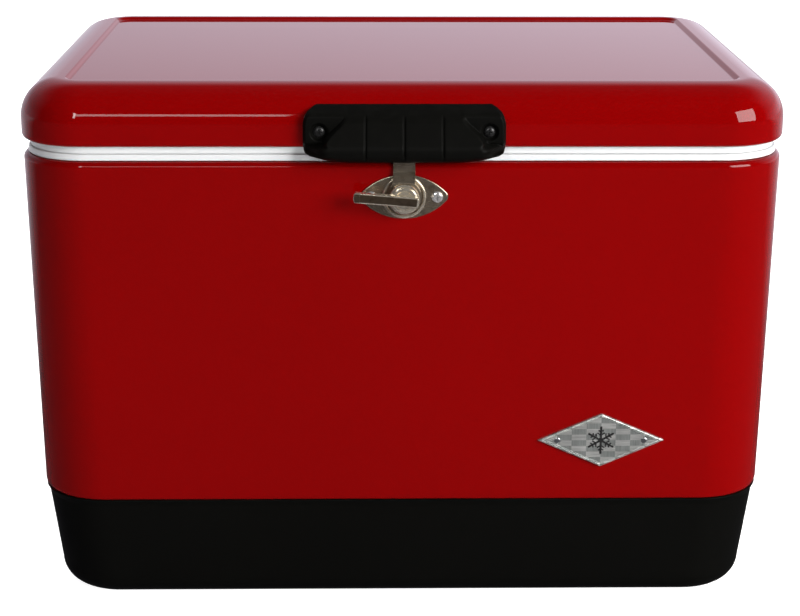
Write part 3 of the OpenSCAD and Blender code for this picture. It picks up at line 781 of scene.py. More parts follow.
@dataclass(frozen=True)
class CheckedPlate:
    """Engine-turned aluminium: a field of small brushed checks, alternate ones brushed the other way and
    painted a lit and a shaded tone as painted sheen.
    """

    name: str
    centre: tuple[float, float]
    check: tuple[float, float] = (12.0, 4.9)
    # Painted sheen: the lit and the shaded tone of the alternate checks, standing in for how each way of
    # brushing catches the light.
    light: tuple[float, float, float] = (0.86, 0.87, 0.84)
    dark: tuple[float, float, float] = (0.53, 0.56, 0.54)

    def material(self) -> bpy.types.Material:
        """Returns the checked metal, its checks centred on the plate."""
        coat = Coat(self.name, 0.36, 0.85)
        centred = coat.add(
            "ShaderNodeVectorMath",
            {0: coat.object_vector, 1: (self.centre[0] * MM, 0.0, self.centre[1] * MM)}, operation="SUBTRACT",
        ).outputs[0]
        parts = coat.add("ShaderNodeSeparateXYZ", {0: centred})
        cells = [
            coat.math("FLOOR", coat.math("MULTIPLY", parts.outputs[axis], 1.0 / (size * MM)))
            for axis, size in ((0, self.check[0]), (2, self.check[1]))
        ]
        counted = coat.math("ADD", coat.math("ADD", cells[0], cells[1]), 400.0)
        odd = coat.math("MODULO", counted, 2.0)
        along = coat.add("ShaderNodeMapping", {"Vector": coat.object_vector, "Scale": (60.0, 60.0, 2600.0)})
        across = coat.add("ShaderNodeMapping", {"Vector": coat.object_vector, "Scale": (2600.0, 60.0, 60.0)})
        brushed = [coat.noise(way.outputs[0], 1.0, 2.0) for way in (along, across)]
        # Painted sheen: odd checks take the shaded tone, the others the lit tone.
        field = coat.blended(odd, (*self.light, 1.0), (*self.dark, 1.0))
        strokes = coat.blended(odd, brushed[0], brushed[1])
        shade = coat.mapped(strokes, 0.3, 0.7, 0.72, 1.12)
        cloudy = coat.effect(EFFECTS.mottle(), Scale=60.0, Spread=0.7)
        tone = coat.math("MULTIPLY", shade, cloudy)
        colour = coat.add("ShaderNodeVectorMath", {0: field, "Scale": tone}, operation="SCALE").outputs[0]
        bright = coat.effect(EFFECTS.edge_wear(), Scale=150.0, Amount=0.8)
        coat.feed("Base Color", coat.blended(bright, colour, (0.75, 0.76, 0.74, 1.0)))
        coat.feed("Roughness", coat.mapped(strokes, 0.3, 0.7, 0.3, 0.46))
        coat.bumped(strokes, 0.4, 0.00005)
        return coat.material


@dataclass(frozen=True)
class Rubber:
    """Matt black rubber with a fine bloom."""

    name: str = "black rubber"
    colour: Colour = (0.011, 0.011, 0.011)

    def material(self) -> bpy.types.Material:
        """Returns the rubber."""
        coat = Coat(self.name, 0.7)
        colour = coat.toned(self.colour, 30.0, 0.5)
        bloom = coat.effect(EFFECTS.dust(), Scale=260.0, Amount=0.12)
        coat.feed("Base Color", coat.blended(bloom, colour, (0.12, 0.115, 0.11, 1.0)))
        coat.bumped(coat.effect(EFFECTS.grain(), Scale=2200.0, Fineness=0.6), 0.4, 0.0001)
        coat.fix(Specular_IOR_Level=0.3)
        return coat.material


@dataclass(frozen=True)
class Foam:
    """Poured insulation foam."""

    name: str = "insulation foam"
    colour: Colour = (0.72, 0.58, 0.28)

    def material(self) -> bpy.types.Material:
        """Returns the foam: small cells painted darker in their hollows as painted shade, and a blotchy tone.
        """
        coat = Coat(self.name, 0.9)
        cells = coat.add("ShaderNodeTexVoronoi", {"Vector": coat.object_vector, "Scale": 900.0}).outputs[0]
        colour = coat.toned(self.colour, 22.0, 0.4)
        # Painted shade: the colour darkens towards each cell's middle, where the bump sinks into a hollow.
        walls = coat.mapped(cells, 0.0, 0.5, 0.25, 0.0)
        coat.feed("Base Color", coat.blended(walls, colour, (0.4, 0.3, 0.12, 1.0)))
        coat.bumped(cells, 0.7, 0.0006)
        return coat.material


class Finishes:
    """Every finish of the chest, made once."""

    def __init__(self) -> None:
        """Builds the materials."""
        badge_low, badge_high = span("badge_plate")
        middle = (badge_low + badge_high) / 2
        self.enamel = Enamel().material()
        self.black = MouldedPlastic(
            "black plastic", (0.0026, 0.0026, 0.0022), (0.009, 0.009, 0.008), 0.44,
            specular=0.06, dust_amount=0.005,
        ).material()
        self.white = MouldedPlastic(
            "white plastic", (0.6, 0.62, 0.63), (0.66, 0.67, 0.68), 0.33, 500.0, 0.00008, 0.45, 0.04,
            (0.5, 0.48, 0.44),
        ).material()
        # Aged nickel: tarnish patches on a base painted darker than the polished nickel. The darker base is
        # painted shade, for the flat plate and strap that mirror the dark studio and for the sunk land in the
        # ring's groove.
        self.plated = PlatedMetal(
            "aged_and_shaded nickel", (0.4, 0.335, 0.25), (0.15, 0.095, 0.05), 0.24, metal=0.92
        ).material()
        self.polished = PlatedMetal(
            "polished nickel", (0.8, 0.73, 0.6), (0.42, 0.32, 0.2), 0.2, (900.0, 30.0, 30.0), metal=0.86
        ).material()
        # Painted dark reflection: a dark copy of the nickel for the thumb bar's front face and tip, which
        # mirror the dark studio.
        self.dark_reflection = PlatedMetal(
            "bronzed nickel", (0.15, 0.11, 0.075), (0.05, 0.03, 0.018), 0.32, metal=0.92
        ).material()
        self.zinc = PlatedMetal(
            "zinc plate", (0.66, 0.68, 0.7), (0.42, 0.42, 0.4), 0.3, (300.0, 30.0, 30.0)
        ).material()
        self.chrome = PlatedMetal(
            "bright plate", (0.86, 0.85, 0.84), (0.55, 0.52, 0.48), 0.16, metal=0.8
        ).material()
        self.oxide = PlatedMetal(
            "black oxide", (0.035, 0.035, 0.035), (0.02, 0.02, 0.02), 0.28, metal=0.6
        ).material()
        self.badge = CheckedPlate("engine turned aluminium", (middle.x, middle.z)).material()
        self.rubber = Rubber().material()
        self.foam = Foam().material()


class Workshop:
    """Turns finished meshes into pieces of the object."""

    def __init__(self, finishes: Finishes) -> None:
        """Keeps the finishes."""
        self.finishes = finishes

    def piece(
        self, name: str, mesh: BMesh, finish: bpy.types.Material, body: Body, slot: Slot,
        nodes: Sequence[str], crease: float = 40.0, weighted: bool = True,
    ) -> bpy.types.Object:
        """Makes a piece, and frees its mesh.

        Args:
            name: the piece's name.
            mesh: its shape in millimetres.
            finish: its material.
            body: the body it rides on.
            slot: the record's material slot; not used.
            nodes: the CAD nodes it stands for.
            crease: edges sharper than this many degrees stay sharp.
            weighted: True keeps large flat faces flat in their shading.

        Returns:
            The piece.
        """
        bmesh.ops.scale(mesh, vec=(MM,) * 3, verts=mesh.verts)
        for face in mesh.faces:
            face.smooth = True
        for edge in mesh.edges:
            edge.smooth = len(edge.link_faces) != 2 or edge.calc_face_angle(0.0) < math.radians(crease)
        data = bpy.data.meshes.new(name)
        mesh.to_mesh(data)
        mesh.free()
        data.materials.append(finish)
        thing = bpy.data.objects.new(name, data)
        bpy.context.scene.collection.objects.link(thing)
        if weighted:
            even = thing.modifiers.new("even shading", "WEIGHTED_NORMAL")
            even.keep_sharp = True
            even.weight = 60
        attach(thing, body.value)
        if nodes:
            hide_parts(*nodes)
        LOG.info("%s: %d faces on %s", name, len(data.polygons), body.value)
        return thing

    def dress(self, finish: bpy.types.Material, *nodes: str) -> None:
        """Gives CAD nodes a finish.

        Args:
            finish: the material.
            nodes: the nodes' names.
        """
        for node in nodes:
            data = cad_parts[node].data
            data.materials.clear()
            data.materials.append(finish)
            LOG.info("%s: dressed", node)


class Fasteners:
    """Screws, rivets and pins as they are turned on a lathe, all along +Z with the head's seat at z 0."""

    @staticmethod
    def dome(radius: float, height: float, shank: float, length: float, steps: int = 32) -> BMesh:
        """Makes a dome head on a shank.

        Args:
            radius: the head's radius.
            height: the head's height.
            shank: the shank's radius.
            length: the shank's length behind the seat.
            steps: steps round the head.

        Returns:
            The mesh.
        """
        rim = min(0.35, height * 0.25)
        curve = [
            (radius * math.cos(turn), rim + (height - rim) * math.sin(turn))
            for turn in (math.radians(12.857 * step) for step in range(8))
        ]
        curve[-1] = (0.0, height)
        stem = [(0.0, -length), (shank, -length), (shank, 0.0), (radius * 0.94, 0.0)]
        return Shape.turned(stem + curve, steps)

    @staticmethod
    def cross(radius: float, height: float, shank: float, length: float) -> BMesh:
        """Makes a pan head with a cross recess.

        Args:
            radius: the head's radius.
            height: the head's height.
            shank: the shank's radius.
            length: the shank's length behind the seat.

        Returns:
            The mesh.
        """
        head = Fasteners.dome(radius, height, shank, length, 40)
        wide, thin, low = radius * 0.56, radius * 0.11, height * 0.3
        tool = Shape.carved(
            Shape.block((-wide, -thin, low), (wide, thin, height + 1)),
            Shape.block((-thin, -wide, low), (thin, wide, height + 1)), "UNION",
        )
        return Shape.carved(head, tool)


# ---------------------------------------------------------------- the body


@dataclass
class BodyShell:
    """The belt, the pan it stands in and the white tub inside."""

    shop: Workshop
    belt_corner: float = 56.0
    belt_draft: float = 3.0
    sheet: float = 1.0
    belt_roll: float = 5.0
    hem_height: float = 5.0
    hem_curl: float = 2.2
    pan_edge: float = 20.8
    pan_slope: float = 0.104
    pan_foot: float = 292.3
    pan_floor: float = 6.0
    pan_shoulder: float = 87.0
    pan_recess: float = 3.0
    tub_mouth: tuple[float, float] = (266.0, 166.0)
    tub_corner: float = 42.0
    tub_draft: float = 0.0253
    tub_floor: float = 66.0
    tub_wall: float = 2.5
    seam_half: float = 9.0
    weld_dimples: int = 13
    drain_bore: float = 10.2
    pocket: Point2 = (230.0, 130.0)
    roll_steps: int = 10

    def build(self) -> None:
        """Makes the three shells and the belt's lap seam."""
        self.belt()
        self.seam()
        self.pan()
        self.tub()

    def _belt_ring(self, z: float, inset: float) -> Ring:
        """Gives the belt's outline at a height.

        Args:
            z: the height.
            inset: how far inside the belt's face.

        Returns:
            The outline.
        """
        low, high = span("outer_belt")
        slope = self.belt_draft * (high.z - z) / (high.z - low.z)
        return Ring(z, high.x - slope - inset, high.y - slope - inset, max(self.belt_corner - inset, 8.0))

    def belt(self) -> None:
        """Makes the enamelled belt: a rolled top edge, a curled hem and a wall of one sheet."""
        low, high = span("outer_belt")
        steps = quarter(self.roll_steps)

        def side(extra: float) -> list[Ring]:
            """Gives the rings of one face, extra millimetres inside the outer one."""
            hem = self.hem_height - extra
            roll = self.belt_roll - extra
            rings = [self._belt_ring(low.z + extra, self.belt_roll)]
            rings += [
                self._belt_ring(
                    low.z + extra + hem * (1 - math.cos(turn)),
                    extra + (self.hem_curl - extra) * (1 - math.sin(turn)),
                )
                for turn in steps
            ]
            rings += [self._belt_ring(low.z + self.hem_height + 3, extra)]
            rings += [self._belt_ring(high.z - self.belt_roll - 3, extra)]
            rings += [
                self._belt_ring(
                    high.z - self.belt_roll + roll * math.sin(turn), self.belt_roll - roll * math.cos(turn)
                )
                for turn in steps
            ]
            return rings

        outside, inside = side(0.0), side(self.sheet)
        mesh = Shape.lofted(outside + inside[::-1], closed=True, corner=28)
        enamel = self.shop.finishes.enamel
        self.shop.piece("belt", mesh, enamel, Body.CHEST, Slot.ENAMEL, ["outer_belt"], 50.0)

    def seam(self) -> None:
        """Makes the belt's lapped seam at the back, with its row of spot-weld dimples."""
        low, high = span("outer_belt")
        bottom, top = low.z + self.hem_height + 2, high.z - self.belt_roll - 1
        mesh = Shape.block((-self.seam_half, high.y - 0.2, bottom), (self.seam_half, high.y + 0.55, top), 0.3)
        margin = 12
        dimple = Fasteners.dome(2.0, 0.35, 1.0, 0.5, 16)
        Shape.moved(dimple, Facing.REAR, (0, high.y + 0.5, bottom + margin))
        pitch = (top - bottom - 2 * margin) / (self.weld_dimples - 1)
        row = Shape.copied(dimple, [(0, 0, pitch * step) for step in range(self.weld_dimples)])
        mesh = Shape.joined([mesh, row])
        for vert in mesh.verts:
            vert.co.y -= self.belt_draft * (high.z - vert.co.z) / (high.z - low.z)
        self.shop.piece("belt_seam", mesh, self.shop.finishes.enamel, Body.CHEST, Slot.ENAMEL, [], 50.0)

    def _pan_ring(self, z: float, half: float, radius: float) -> Ring:
        """Gives a pan outline, its half depth following its half width.

        Args:
            z: the height.
            half: the half width.
            radius: the corner radius.

        Returns:
            The outline.
        """
        low, high = span("outer_belt")
        return Ring(z, half, half - (high.x - high.y), radius)

    def pan(self) -> None:
        """Makes the moulded pan: round foot, sloping sides, shoulder, collar and four floor recesses."""
        steps = quarter(14)
        seat = span("outer_belt")[0].z - 0.3
        rings = [
            self._pan_ring(
                self.pan_edge * (1 - math.cos(turn)), self.pan_foot - self.pan_edge * (1 - math.sin(turn)),
                53.0 - self.pan_edge * (1 - math.sin(turn)),
            )
            for turn in steps
        ]
        rings.insert(0, self._pan_ring(0.0, self.pan_foot - self.pan_edge - 4, 28.2))

        def wall(z: float) -> float:
            """Gives the half width of the sloping wall at a height."""
            return self.pan_foot + (z - self.pan_edge) * self.pan_slope

        rings += [self._pan_ring(z, wall(z), 53.0) for z in (28.0, 54.0, 80.0, self.pan_shoulder - 0.5)]
        rings += [
            self._pan_ring(*row) for row in (
                (self.pan_shoulder + 0.4, wall(self.pan_shoulder) + 0.2, 53.1), (seat - 1.2, 300.9, 53.7),
                (seat - 0.7, 301.2, 53.9), (seat - 0.2, 301.1, 53.8), (seat, 300.7, 53.4),
                (seat, 296.4, 50.6),
                (104.4, 296.2, 50.6), (105.0, 295.6, 50.0), (105.0, 294.3, 48.7),
                (self.pan_shoulder, 294.6, 49.0), (60.0, 293.4, 50.0),
            )
        ]
        inner = self.pan_edge - self.pan_floor
        rings += [
            self._pan_ring(
                self.pan_floor + inner * (1 - math.cos(turn)), 289.3 - inner * (1 - math.sin(turn)),
                50.0 - inner * (1 - math.sin(turn)),
            )
            for turn in steps[::-2]
        ]
        mesh = Shape.lofted(rings, corner=28)
        pockets = Shape.joined([
            Shape.block((x, y, -4.0), (x + self.pocket[0], y + self.pocket[1], self.pan_recess), 2.4, 4)
            for x in (-250, 20) for y in (-150, 20)
        ])
        mesh = Shape.carved(mesh, pockets)
        y, z = axis_of("drain_spout")
        bore = self.drain_bore
        profile = [(bore, -10), (15.5, -10), (15.5, 4.3), (14.9, 5.0), (10.9, 5.0), (bore, 4.4)]
        boss = Shape.turned(profile, 48, True)
        mesh = Shape.carved(mesh, Shape.moved(boss, Facing.RIGHT, (296.0, y, z)), "UNION")
        drill = Shape.turned([(0, 0), (bore, 0), (bore, 40), (0, 40)], 48)
        mesh = Shape.carved(mesh, Shape.moved(drill, Facing.RIGHT, (275.0, y, z)))
        self.shop.piece("pan", mesh, self.shop.finishes.black, Body.CHEST, Slot.BLACK, ["base_pan"])

    def _tub_ring(self, z: float, inset: float) -> Ring:
        """Gives the tub's inner outline at a height.

        Args:
            z: the height.
            inset: how far inside it, negative for outside.

        Returns:
            The outline.
        """
        slope = (span("liner_tub")[1].z - z) * self.tub_draft + inset
        return Ring(
            z, self.tub_mouth[0] - slope, self.tub_mouth[1] - slope, max(self.tub_corner - inset, 8.0)
        )

    def tub(self) -> None:
        """Makes the tub: a flanged rim, drafted walls, a rounded floor, corner steps and the drain's sump."""
        low, high = span("liner_tub")
        floor, wall, lip = self.tub_floor, self.tub_wall, span("outer_belt")[1].z + 0.3
        turns = quarter(8)
        fillet = 12.0
        rings = [
            self._tub_ring(z, inset) for z, inset in (
                (floor - wall, 12), (floor + 4, -1.4), (floor + 12, -wall),
                (lip - 8, -wall), (lip - 2, -wall - 0.6), (lip, -wall - 2.5),
            )
        ]
        rings += [
            self._pan_ring(*row) for row in (
                (lip, 300.4, 51.5), (lip + 0.5, 301.0, 52.0), (high.z - 0.5, 300.6, 51.6),
                (high.z, 300.3, 51.3), (high.z + 0.3, 299.8, 50.8), (high.z + 0.3, 296.4, 47.4),
            )
        ]
        rings += [
            self._tub_ring(high.z + 0.3 - 3 * (1 - math.cos(turn)), -3.4 * (1 - math.sin(turn)))
            for turn in turns
        ]
        rings += [self._tub_ring(z, 0) for z in (high.z - 8, floor + fillet + 8)]
        rings += [
            self._tub_ring(floor + fillet * (1 - math.sin(turn)), fillet * (1 - math.cos(turn)))
            for turn in turns
        ]
        mesh = Shape.lofted(rings, corner=24)
        y, z = axis_of("drain_spout")
        shell = Shape.joined([Shape.block((233.5, y - 18.5, low.z), (260.6, y + 18.5, floor - 0.4))])
        back = Shape.block((254.5, y - 18.5, low.z), (260.6, y + 18.5, z + 6))
        mesh = Shape.carved(mesh, Shape.carved(shell, back, "UNION"), "UNION")
        mesh = Shape.carved(mesh, Shape.block((236, y - 16, low.z + wall), (257.4, y + 16, z + 12), 1.5, 3))
        bore = self.drain_bore
        drill = Shape.turned([(0, 0), (bore, 0), (bore, 20), (0, 20)], 40)
        mesh = Shape.carved(mesh, Shape.moved(drill, Facing.RIGHT, (250.0, y, z)))
        self.shop.piece("tub", mesh, self.shop.finishes.white, Body.CHEST, Slot.WHITE, ["liner_tub"])


# ---------------------------------------------------------------- the lid


@dataclass
class LidShell:
    """The enamelled lid, its white inner lid and what is between them."""

    shop: Workshop
    edge: float = 31.0
    corner: float = 53.0
    sheet: float = 1.0
    panel: tuple[float, float] = (263.0, 165.0)
    panel_corner: float = 9.0
    panel_step: float = 7.0
    panel_depth: float = 2.5
    hem: float = 6.0
    roll_steps: int = 22

    def build(self) -> None:
        """Makes the lid's two shells."""
        self.shell()
        self.inner()

    def _ring(self, z: float, inset: float) -> Ring:
        """Gives the lid's outline.

        Args:
            z: the height.
            inset: how far inside its widest line.

        Returns:
            The outline.
        """
        low, high = span("lid_shell")
        return Ring(z, high.x - inset, high.y - inset, max(self.corner - inset, self.panel_corner))

    def shell(self) -> None:
        """Makes the enamelled lid: an inward hem, a rolled upper edge and a pressed panel."""
        low, high = span("lid_shell")
        bottom, top = low.z, high.z
        turns = quarter(self.roll_steps)
        panel_top = [
            Ring(
                top - self.panel_depth * smooth(0.2, 0.8, step / 14),
                self.panel[0] + self.panel_step * (1 - step / 14),
                self.panel[1] + self.panel_step * (1 - step / 14),
                self.panel_corner + self.panel_step * (1 - step / 14),
            )
            for step in range(15)
        ]
        inside = [
            Ring(top - self.panel_depth - self.sheet, *self.panel, self.panel_corner),
            Ring(top - self.sheet, self.panel[0] + self.panel_step, self.panel[1] + self.panel_step, 16.0),
        ]
        thin = self.edge - self.sheet
        inside += [
            self._ring(top - self.edge + thin * math.sin(turn), self.edge - thin * math.cos(turn))
            for turn in turns[::-2]
        ]
        inside += [
            self._ring(bottom + 5, self.sheet), self._ring(bottom + 2, 2.4), self._ring(bottom + 1, self.hem)
        ]
        outside = [self._ring(bottom, self.hem), self._ring(bottom, 4.6)]
        outside += [
            self._ring(bottom + 4.6 * (1 - math.cos(turn)), 4.6 * (1 - math.sin(turn)))
            for turn in quarter(8)[1:]
        ]
        outside += [self._ring(bottom + 9, 0.0), self._ring(top - self.edge - 2, 0.0)]
        outside += [
            self._ring(top - self.edge + self.edge * math.sin(turn), self.edge * (1 - math.cos(turn)))
            for turn in turns
        ]
        deep = panel_top[-1]
        outside += panel_top + [Ring(deep.z, deep.half_x - 2.5, deep.half_y - 2.5, deep.radius - 1.5)]
        mesh = Shape.lofted(inside + outside, corner=28)
        self.shop.piece("lid", mesh, self.shop.finishes.enamel, Body.LID, Slot.ENAMEL, ["lid_shell"], 50.0)

    def inner(self) -> None:
        """Makes the inner lid: its rim, the plug that fills the tub's mouth, and a pressed panel."""
        low, high = span("lid_liner")
        belt_high = span("outer_belt")[1]
        gap = belt_high.x - belt_high.y
        rim, plug = 384.15, low.z
        underside = [Ring(plug + 1.6, 212, 112, 20), Ring(plug + 1.2, 214, 114, 22), Ring(plug, 217, 117, 25)]
        underside += [Ring(plug, 252, 152, 32)]
        underside += [
            Ring(
                plug + 5 * (1 - math.cos(turn)), 262 - 5 * (1 - math.sin(turn)),
                162 - 5 * (1 - math.sin(turn)), 40 - 5 * (1 - math.sin(turn)),
            )
            for turn in quarter(6)
        ]
        underside += [
            Ring(rim - 0.8, 262.5, 162.5, 40), Ring(rim, 263.3, 163.3, 40.8),
            Ring(rim, 298.5, 298.5 - gap, 49.7),
            Ring(rim + 0.2, 298.75, 298.75 - gap, 49.95), Ring(rim + 1.2, 298.8, 298.8 - gap, 50),
            Ring(high.z, 298, 298 - gap, 49),
        ]
        upper = [
            Ring(high.z, 296.2, 296.2 - gap, 47.2), Ring(rim + 2.5, 296.6, 296.6 - gap, 47.6),
            Ring(rim + 2.5, 260, 160, 37.5), Ring(plug + 5.5, 259.5, 159.5, 37.5),
            Ring(plug + 3.5, 257.5, 157.5, 35.5),
            Ring(plug + 2.5, 252, 152, 32), Ring(plug + 2.5, 216, 116, 24),
        ]
        mesh = Shape.lofted(underside + upper, corner=24)
        white = self.shop.finishes.white
        self.shop.piece("inner_lid", mesh, white, Body.LID, Slot.WHITE, ["lid_liner"])


@dataclass
class Pull:
    """The black front pull: a bulging grooved grip between two flanges, over a full-width lip."""

    shop: Workshop
    top_corner: float = 17.0
    half_width: float = 78.7
    screw: Point2 = (66.0, 404.0)
    grip_top: tuple[float, float] = (44.5, 418.0)
    grip_foot: tuple[float, float] = (62.0, 395.5)
    foot_spread: float = 7.0
    grooves: tuple[float, ...] = (-30.0, 0.0, 30.0)
    groove_depth: float = 1.3
    groove_half: float = 1.3
    rows: tuple[tuple[float, Point2, Point2], ...] = (
        (0.0, (-199.9, 423.9), (-199.9, 423.9)),
        (0.05, (-202.9, 422.8), (-203.2, 422.8)),
        (0.1, (-207.2, 420.4), (-207.8, 420.4)),
        (0.15, (-211.4, 417.4), (-211.3, 418.0)),
        (0.2, (-214.4, 414.8), (-212.8, 415.6)),
        (0.25, (-216.6, 411.9), (-213.0, 412.2)),
        (0.4, (-220.6, 404.8), (-213.0, 404.8)),
        (0.55, (-224.6, 397.8), (-213.0, 397.8)),
        (0.6, (-226.0, 395.3), (-212.8, 395.3)),
        (0.64, (-226.9, 392.6), (-211.4, 394.2)),
        (0.69, (-227.0, 390.4), (-209.6, 392.4)),
        (0.74, (-226.7, 388.4), (-210.4, 389.2)),
        (0.79, (-225.8, 386.2), (-215.4, 387.2)),
        (0.84, (-224.0, 383.9), (-219.0, 386.2)),
        (0.89, (-221.2, 382.0), (-220.0, 384.2)),
        (0.94, (-217.0, 381.1), (-217.0, 382.2)),
        (1.0, (-208.0, 381.0), (-208.0, 381.4)),
    )

    def build(self) -> None:
        """Makes the pull and its two screws."""
        self.grip()
        self.screws()

    def _rows_at(self, share: float) -> tuple[Vector, Vector]:
        """Gives the grip's and the flange's profile points.

        Args:
            share: how far down the front, from 0 to 1.

        Returns:
            Two (y, z) points.
        """
        for before, after in zip(self.rows, self.rows[1:]):
            if share <= after[0] + 1e-9:
                t = (share - before[0]) / (after[0] - before[0])
                return (
                    Vector(before[1]).lerp(Vector(after[1]), t), Vector(before[2]).lerp(Vector(after[2]), t)
                )
        return Vector(self.rows[-1][1]), Vector(self.rows[-1][2])

    def _half_at(self, z: float) -> float:
        """Gives the pull's half width at a height.

        Args:
            z: the height.

        Returns:
            The half width, rounded in at the top and the bottom.
        """
        half, radius = self.half_width, self.top_corner
        high = 425.0 - radius
        if z > high:
            return half - radius + math.sqrt(max(radius * radius - (z - high) ** 2, 1.0))
        if z < 392.0:
            return half - 13.0 * (1.0 - math.sqrt(max(1.0 - ((392.0 - z) / 11.6) ** 2, 0.0)))
        return half

    def _edge_at(self, z: float) -> float:
        """Gives how far out the grip reaches at a height.

        Args:
            z: the height.

        Returns:
            The S-curve's distance from the middle.
        """
        t = smooth(self.grip_top[1], self.grip_foot[1], z)
        lower = smooth(self.grip_foot[1], self.grip_foot[1] - 5.0, z)
        return self.grip_top[0] + (self.grip_foot[0] - self.grip_top[0]) * t + self.foot_spread * lower

    def _column(self, share: float, z: float) -> float:
        """Gives the X of a column.

        Args:
            share: how far across, from -1 to 1.
            z: the height, which moves the columns that follow the grip's edge.

        Returns:
            The X.
        """
        edge, half = self._edge_at(z), self._half_at(z)
        edge = min(edge, half - 4.0)
        stops = [(0.0, 0.0), (0.02, 1.5), (0.28, 28.5), (0.34, 31.5), (0.44, 42.0), (0.52, edge - 1.9),
                 (0.64, edge + 1.9), (0.93, half - 2.2), (1.0, half)]
        reach = abs(share)
        for (low, near), (high, far) in zip(stops, stops[1:]):
            if reach <= high + 1e-9:
                return math.copysign(near + (far - near) * (reach - low) / (high - low), share)
        return math.copysign(half, share)

    def _front(self, across: float, down: float) -> Vector:
        """Gives a point of the pull's front.

        Args:
            across: from -1 at the left to 1 at the right.
            down: from 0 at the top to 1 at the bottom.

        Returns:
            The point.
        """
        grip, flange = self._rows_at(down)
        x = self._column(across, grip[1])
        edge = min(self._edge_at(grip[1]), self._half_at(grip[1]) - 4.0)
        blend = 1.9 + 8.0 * smooth(397.0, 389.0, grip[1])
        weight = smooth(edge + blend, edge - blend, abs(x))
        y = flange[0] + (grip[0] - flange[0]) * weight
        z = flange[1] + (grip[1] - flange[1]) * weight
        rise = smooth(40.0, self.half_width, abs(x)) * smooth(0.7, 1.0, down) * 4.5
        rounding = smooth(self._half_at(z) - 3.0, self._half_at(z), abs(x)) ** 2
        y += rounding * 2.4 * smooth(0.05, 0.2, down)
        for groove in self.grooves:
            depth = max(0.0, 1.0 - abs(x - groove) / self.groove_half)
            y += self.groove_depth * depth * smooth(0.14, 0.2, down) * smooth(0.86, 0.78, down)
        screw = math.hypot(abs(x) - self.screw[0], z - self.screw[1])
        y += 3.4 * smooth(7.4, 4.9, screw)
        return Vector((x, y, z + rise))

    def _back(self, x: float, z: float) -> Vector:
        """Gives the point of the lid's face behind a point of the pull.

        Args:
            x: the point's X.
            z: the point's height.

        Returns:
            The point, a hair in front of the lid.
        """
        low, high = span("lid_shell")
        roll, gap = 31.0, 0.3
        centre_y, centre_z = low.y + roll, high.z - roll
        if z <= centre_z:
            return Vector((x, low.y - gap, z))
        return Vector((x, centre_y - math.sqrt(max((roll + gap) ** 2 - (z - centre_z) ** 2, 1.0)), z))

    def grip(self) -> None:
        """Makes the pull: shaped front, back that follows the lid, finger hollow and strap slot."""
        columns, rows = 240, 84
        faces = []
        for front in (True, False):
            mesh = bmesh.new()
            bmesh.ops.create_grid(mesh, x_segments=columns, y_segments=rows, size=1.0)
            for vert in mesh.verts:
                across, down = vert.co.x, (1.0 - vert.co.y) / 2
                point = self._front(across, down)
                vert.co = point if front else self._back(point.x, point.z)
            faces.append(mesh)
        mesh = Shape.joined(faces)
        rim = [edge for edge in mesh.edges if len(edge.link_faces) == 1]
        bmesh.ops.bridge_loops(mesh, edges=rim)
        bmesh.ops.recalc_face_normals(mesh, faces=mesh.faces)
        mesh = Shape.carved(mesh, Shape.block((-56, -218.5, 370), (56, -209.5, 397.5), 2.0, 3))
        mesh = Shape.carved(mesh, Shape.block((-9.6, -211, 370), (9.6, -200, 404), 0.6))
        black = self.shop.finishes.black
        self.shop.piece("pull", mesh, black, Body.LID, Slot.BLACK, ["lid_handle"], 60.0, False)

    def screws(self) -> None:
        """Makes the two blackened pan head screws."""
        reach, height = self.screw
        mesh = Shape.moved(Fasteners.cross(4.3, 2.4, 2.0, 12.0), Facing.FRONT, (0, -209.5, height))
        mesh = Shape.copied(mesh, [(-reach, 0, 0), (reach, 0, 0)])
        self.shop.piece(
            "pull_screws", mesh, self.shop.finishes.oxide, Body.LID, Slot.ZINC, ["lid_handle_screws"]
        )


# ---------------------------------------------------------------- the latch


